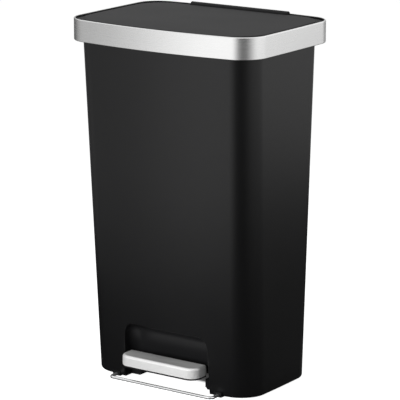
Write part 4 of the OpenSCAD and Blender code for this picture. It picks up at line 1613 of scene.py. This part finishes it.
@dataclass(frozen=True)
class Tread:
    """The pedal's pad: a pressed steel cap on a plastic carrier."""

    layout: Layout
    width: float = 166 * MM
    front: float = 136 * MM
    depth: float = 40 * MM
    top: float = 53 * MM
    cap_height: float = 19 * MM
    skin: float = 0.9 * MM
    edge: float = 5 * MM
    corner: float = 20 * MM
    rear_corner: float = 4 * MM
    least_corner: float = 0.5 * MM
    corner_steps: int = 16
    rear_steps: int = 8

    def ring(self, inset: float, z: float) -> Ring:
        """The pad's outline, moved in, at one height.

        Args:
            inset: How far it is moved in.
            z: Its height.

        Returns:
            The outline's points.
        """
        w = self.width / 2 - inset
        f = self.layout.shift - self.front + inset
        b = self.layout.shift - self.front + self.depth - inset
        r = self.corner - inset
        q = max(self.rear_corner - inset, self.least_corner)
        many, few = self.corner_steps, self.rear_steps
        corners = ((-w + r, f + r, r, 180, many), (w - r, f + r, r, 270, many),
                   (w - q, b - q, q, 0, few), (-w + q, b - q, q, 90, few))
        points: Ring = []
        for cx, cy, radius, start, steps in corners:
            for i in range(steps + 1):
                turn = math.radians(start + 90 * i / steps)
                points.append(Vector((cx + radius * math.cos(turn),
                                      cy + radius * math.sin(turn), z)))
        return points

    def form(self, name: str, inset: float, low: float) -> bpy.types.Object:
        """The cap's outside or inside as a solid.

        Args:
            name: The solid's name.
            inset: How far inside the outer face it is.
            low: How far below the cap's lower edge it starts.

        Returns:
            The solid.
        """
        edge, top = self.edge - inset, self.top - inset
        rings = [self.ring(inset, self.top - self.cap_height - low)]
        rings += [self.ring(inset + edge * side, top - edge * up) for side, up in reversed(quarter(8))]
        return loft(name, rings)

    def build(self, shop: Shop) -> None:
        """Builds the cap and dresses the carrier.

        Args:
            shop: The frame and the finishes.
        """
        cap = combine(self.form("tread_cap_skin", 0.0, 0.0), Solid.CUT,
                      self.form("inside", self.skin, PAST))
        shop.place(smooth(cap), Body.PEDAL, Slot.STEEL, "tread", "tread_cap")
        shop.smoothed("tread_carrier_moulding", "tread_carrier", Body.PEDAL, Slot.BLACK, "inner")


@dataclass(frozen=True)
class Linkage:
    """The lever, axle, push rod and their small parts between the pedal and the lid."""

    def build(self, shop: Shop) -> None:
        """Dresses the lever and the rod.

        Args:
            shop: The frame and the finishes.
        """
        pedal, rod, can = Body.PEDAL, Body.ROD, Body.CAN
        shop.smoothed("pedal_bracket_plate", "pedal_bracket", pedal, Slot.COATED, "coated")
        shop.smoothed("lever_arm_plate", "lever_arm", pedal, Slot.COATED, "coated")
        shop.smoothed("pedal_bush_pair", "pedal_bushes", pedal, Slot.NYLON, "nylon")
        shop.smoothed("lever_rivet_pair", "lever_rivets", pedal, Slot.ZINC, "zinc")
        shop.smoothed("pedal_axle_rod", "pedal_axle", can, Slot.ZINC, "zinc")
        shop.smoothed("axle_clip_pair", "axle_clips", can, Slot.ZINC, "zinc")
        shop.smoothed("push_rod_bar", "push_rod", rod, Slot.ZINC, "zinc")
        shop.smoothed("rod_head_block", "rod_head", rod, Slot.NYLON, "nylon")
        shop.smoothed("rod_foot_pin_bar", "rod_foot_pin", rod, Slot.ZINC, "zinc")
        shop.smoothed("rod_guide_pair", "rod_guides", can, Slot.NYLON, "nylon")
        shop.smoothed("rod_cover_strip", "rod_cover", can, Slot.BLACK, "body")


# ---------------------------------------------------------------- base


@dataclass(frozen=True)
class StabiliserWire:
    """The chromed wire on the floor in front of the can, bent round at its corners."""

    layout: Layout
    wire: float = 6 * MM
    width: float = 221 * MM
    front: float = 124.43 * MM
    bend: float = 8 * MM
    leg_end: float = 78 * MM
    leg_steps: int = 6
    bend_steps: int = 12
    front_steps: int = 12

    def path(self) -> list[Vector]:
        """The middle line of the wire, from its left end to its right end.

        Returns:
            Points along the middle line.
        """
        x, y, z = self.width / 2, self.layout.shift - self.front, self.wire / 2
        end, bend = self.layout.shift - self.leg_end, self.bend
        legs, fronts = self.leg_steps, self.front_steps
        right = [Vector((x, end - (end - y - bend) * i / legs, z)) for i in range(legs)]
        for i in range(self.bend_steps + 1):
            turn = math.pi / 2 * i / self.bend_steps
            right.append(Vector((x - bend + bend * math.cos(turn), y + bend - bend * math.sin(turn), z)))
        left = [Vector((-p.x, p.y, p.z)) for p in right]
        across = [Vector(((bend - x) * (1 - 2 * i / fronts), y, z)) for i in range(1, fronts)]
        return left + across + right[::-1]

    def build(self, shop: Shop) -> bpy.types.Object:
        """Sweeps the wire along its path.

        Args:
            shop: The frame and the finishes.

        Returns:
            The wire.
        """
        tree = GeometryTree("wire_sweep", wire_radius=self.wire / 2)
        circle = tree.add("GeometryNodeCurvePrimitiveCircle", {"mode": "RADIUS"}, Resolution=24,
                          Radius=tree.inputs["wire_radius"])
        swept = tree.add("GeometryNodeCurveToMesh", Curve=tree.inputs["Geometry"],
                         Profile_Curve=circle.outputs["Curve"], Fill_Caps=True)
        soft = tree.add("GeometryNodeSetShadeSmooth", {"domain": "FACE"},
                        Geometry=swept.outputs["Mesh"])
        wire = tree.run("stabiliser_wire_bar", path_object("wire_path", self.path()),
                        soft.outputs[0], shop.finish("chrome"))
        wire.data.set_sharp_from_angle(angle=math.radians(40))
        return shop.place(wire, Body.CAN, Slot.CHROME, "chrome", "stabiliser_wire")


@dataclass(frozen=True)
class Base:
    """The moulded base frame, with the blocks that hold the wire."""

    def build(self, shop: Shop) -> None:
        """Dresses the base and its small parts.

        Args:
            shop: The frame and the finishes.
        """
        shop.smoothed("base_frame_moulding", "base_frame", Body.CAN, Slot.BLACK, "inner")
        shop.smoothed("wire_clamp_blocks", "wire_clamps", Body.CAN, Slot.BLACK, "inner")
        shop.smoothed("rubber_foot_pads", "rubber_feet", Body.CAN, Slot.RUBBER, "rubber")


# ---------------------------------------------------------------- fasteners


class Facing(Enum):
    """Which way a screw's shank points from its head."""

    UP = (0.0, 0.0, 1.0)
    DOWN = (0.0, 0.0, -1.0)
    FORWARD = (0.0, -1.0, LEAN)


@dataclass(frozen=True)
class Screws:
    """Pan head screws with crossed slots, put on their seats by a node tree."""

    head_radius: float
    head_height: float
    shank_radius: float
    slot_width: float = 0.9 * MM
    slot_reach: float = 2.1 * MM
    slot_depth: float = 1.1 * MM

    def seats(self, node: bpy.types.Object, facing: Facing) -> list[tuple[Vector, Vector, float]]:
        """The seats of a CAD node's screws.

        Args:
            node: The CAD node of the screws.
            facing: Which way their shanks point.

        Returns:
            For each screw its seat, its direction and the length of its shank.
        """
        along = Vector(facing.value).normalized()
        found = []
        for low, high in boxes_of(node):
            middle, half = (low + high) / 2, (high - low) / 2
            reach = max(half) if facing is not Facing.FORWARD else half.y
            outer = middle - along * reach
            found.append((outer + along * self.head_height, along, 2 * reach - self.head_height))
        return found

    def head(self, tree: GeometryTree) -> Socket:
        """A domed head below the seat, with a crossed slot in it.

        Args:
            tree: The tree that the head is made in.

        Returns:
            The head's geometry.
        """
        radius, height = tree.inputs["head_radius"], tree.inputs["head_height"]
        ball = tree.add("GeometryNodeMeshUVSphere", Segments=28, Rings=16, Radius=1.0)
        dome = tree.add("GeometryNodeTransform", Geometry=ball.outputs["Mesh"],
                        Scale=tree.point(radius, radius, height))
        above = tree.add("GeometryNodeMeshCube", Size=tree.point(
            tree.maths("MULTIPLY", radius, 3.0), tree.maths("MULTIPLY", radius, 3.0), height))
        lid = tree.add("GeometryNodeTransform", Geometry=above.outputs["Mesh"],
                       Translation=tree.point(z=tree.maths("MULTIPLY", height, 0.5)))
        wide, reach = tree.inputs["slot_width"], tree.inputs["slot_reach"]
        deep = tree.maths("MULTIPLY", tree.inputs["slot_depth"], 2.0)
        cutters = [lid.outputs[0]]
        for size in ((reach, wide, deep), (wide, reach, deep)):
            bar = tree.add("GeometryNodeMeshCube", Size=tree.point(*size))
            moved = tree.add("GeometryNodeTransform", Geometry=bar.outputs["Mesh"],
                             Translation=tree.point(z=tree.maths("MULTIPLY", height, -1.0)))
            cutters.append(moved.outputs[0])
        cut = tree.add("GeometryNodeMeshBoolean", {"operation": "DIFFERENCE"}, Mesh_1=dome.outputs[0])
        for cutter in cutters:
            tree.link(cutter, cut.inputs["Mesh 2"])
        return cut.outputs["Mesh"]

    def shank(self, tree: GeometryTree) -> Socket:
        """A round shank, one metre long, above the seat.

        Args:
            tree: The tree that the shank is made in.

        Returns:
            The shank's geometry.
        """
        bar = tree.add("GeometryNodeMeshCylinder", Vertices=20, Radius=tree.inputs["shank_radius"],
                       Depth=1.0)
        return tree.add("GeometryNodeTransform", Geometry=bar.outputs["Mesh"],
                        Translation=(0, 0, 0.5)).outputs[0]

    def build(self, shop: Shop, name: str, node: str, body: Body, facing: Facing) -> bpy.types.Object:
        """Builds one group of screws in place of its CAD node.

        Args:
            shop: The frame and the finishes.
            name: The name of the finished piece.
            node: The CAD node.
            body: The body that it rides on.
            facing: Which way the shanks point.

        Returns:
            The screws as one piece.
        """
        tree = GeometryTree(name + "_tree", head_radius=self.head_radius, head_height=self.head_height,
                        shank_radius=self.shank_radius, slot_width=self.slot_width,
                        slot_reach=2 * self.slot_reach, slot_depth=self.slot_depth)
        axis = tree.add("GeometryNodeInputNamedAttribute", {"data_type": "FLOAT_VECTOR"}, Name="axis")
        length = tree.add("GeometryNodeInputNamedAttribute", {"data_type": "FLOAT"}, Name="length")
        turn = tree.add("FunctionNodeAlignRotationToVector", {"axis": "Z"}, Vector=axis.outputs[0])
        heads = tree.add("GeometryNodeInstanceOnPoints", Points=tree.inputs["Geometry"],
                         Instance=self.head(tree), Rotation=turn.outputs[0])
        shanks = tree.add("GeometryNodeInstanceOnPoints", Points=tree.inputs["Geometry"],
                          Instance=self.shank(tree), Rotation=turn.outputs[0],
                          Scale=tree.point(1.0, 1.0, length.outputs[0]))
        joined = tree.add("GeometryNodeJoinGeometry")
        for part in (shanks, heads):
            tree.link(part.outputs[0], joined.inputs[0])
        soft = tree.add("GeometryNodeSetShadeSmooth", {"domain": "FACE"}, Geometry=joined.outputs[0])
        screws = tree.run(name, seats_object(name + "_seats", self.seats(shop.node(node), facing)),
                          soft.outputs[0], shop.finish("zinc"))
        screws.data.set_sharp_from_angle(angle=math.radians(35))
        return shop.place(screws, body, Slot.ZINC, "zinc", node)


def drive_screws(shop: Shop) -> None:
    """Puts every group of screws in its place.

    Args:
        shop: The frame and the finishes.
    """
    screws = Screws(head_radius=3.6 * MM, head_height=1.8 * MM, shank_radius=1.8 * MM)
    for node, body, facing in (
            ("base_screws", Body.CAN, Facing.UP), ("collar_screws", Body.CAN, Facing.DOWN),
            ("hinge_bracket_screws", Body.CAN, Facing.DOWN), ("lid_screws", Body.LID, Facing.UP),
            ("tread_screws", Body.PEDAL, Facing.UP),
            ("rod_cover_screws", Body.CAN, Facing.FORWARD)):
        screws.build(shop, node + "_set", node, body, facing)


# ---------------------------------------------------------------- main


def main() -> None:
    """Builds the studio and the can, sub-assembly by sub-assembly."""
    logging.basicConfig(level=logging.INFO, format="%(name)s: %(message)s")
    studio = Studio()
    studio.make_camera()
    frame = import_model()
    studio.build()
    shop = Shop(frame)
    layout = Layout()
    BodyShell(layout, ToeRecess(layout)).build(shop)
    Rim(layout).build(shop)
    Lid(layout).build(shop)
    Tread(layout).build(shop)
    Linkage().build(shop)
    StabiliserWire(layout).build(shop)
    Base().build(shop)
    drive_screws(shop)


if __name__ == "__main__":
    main()
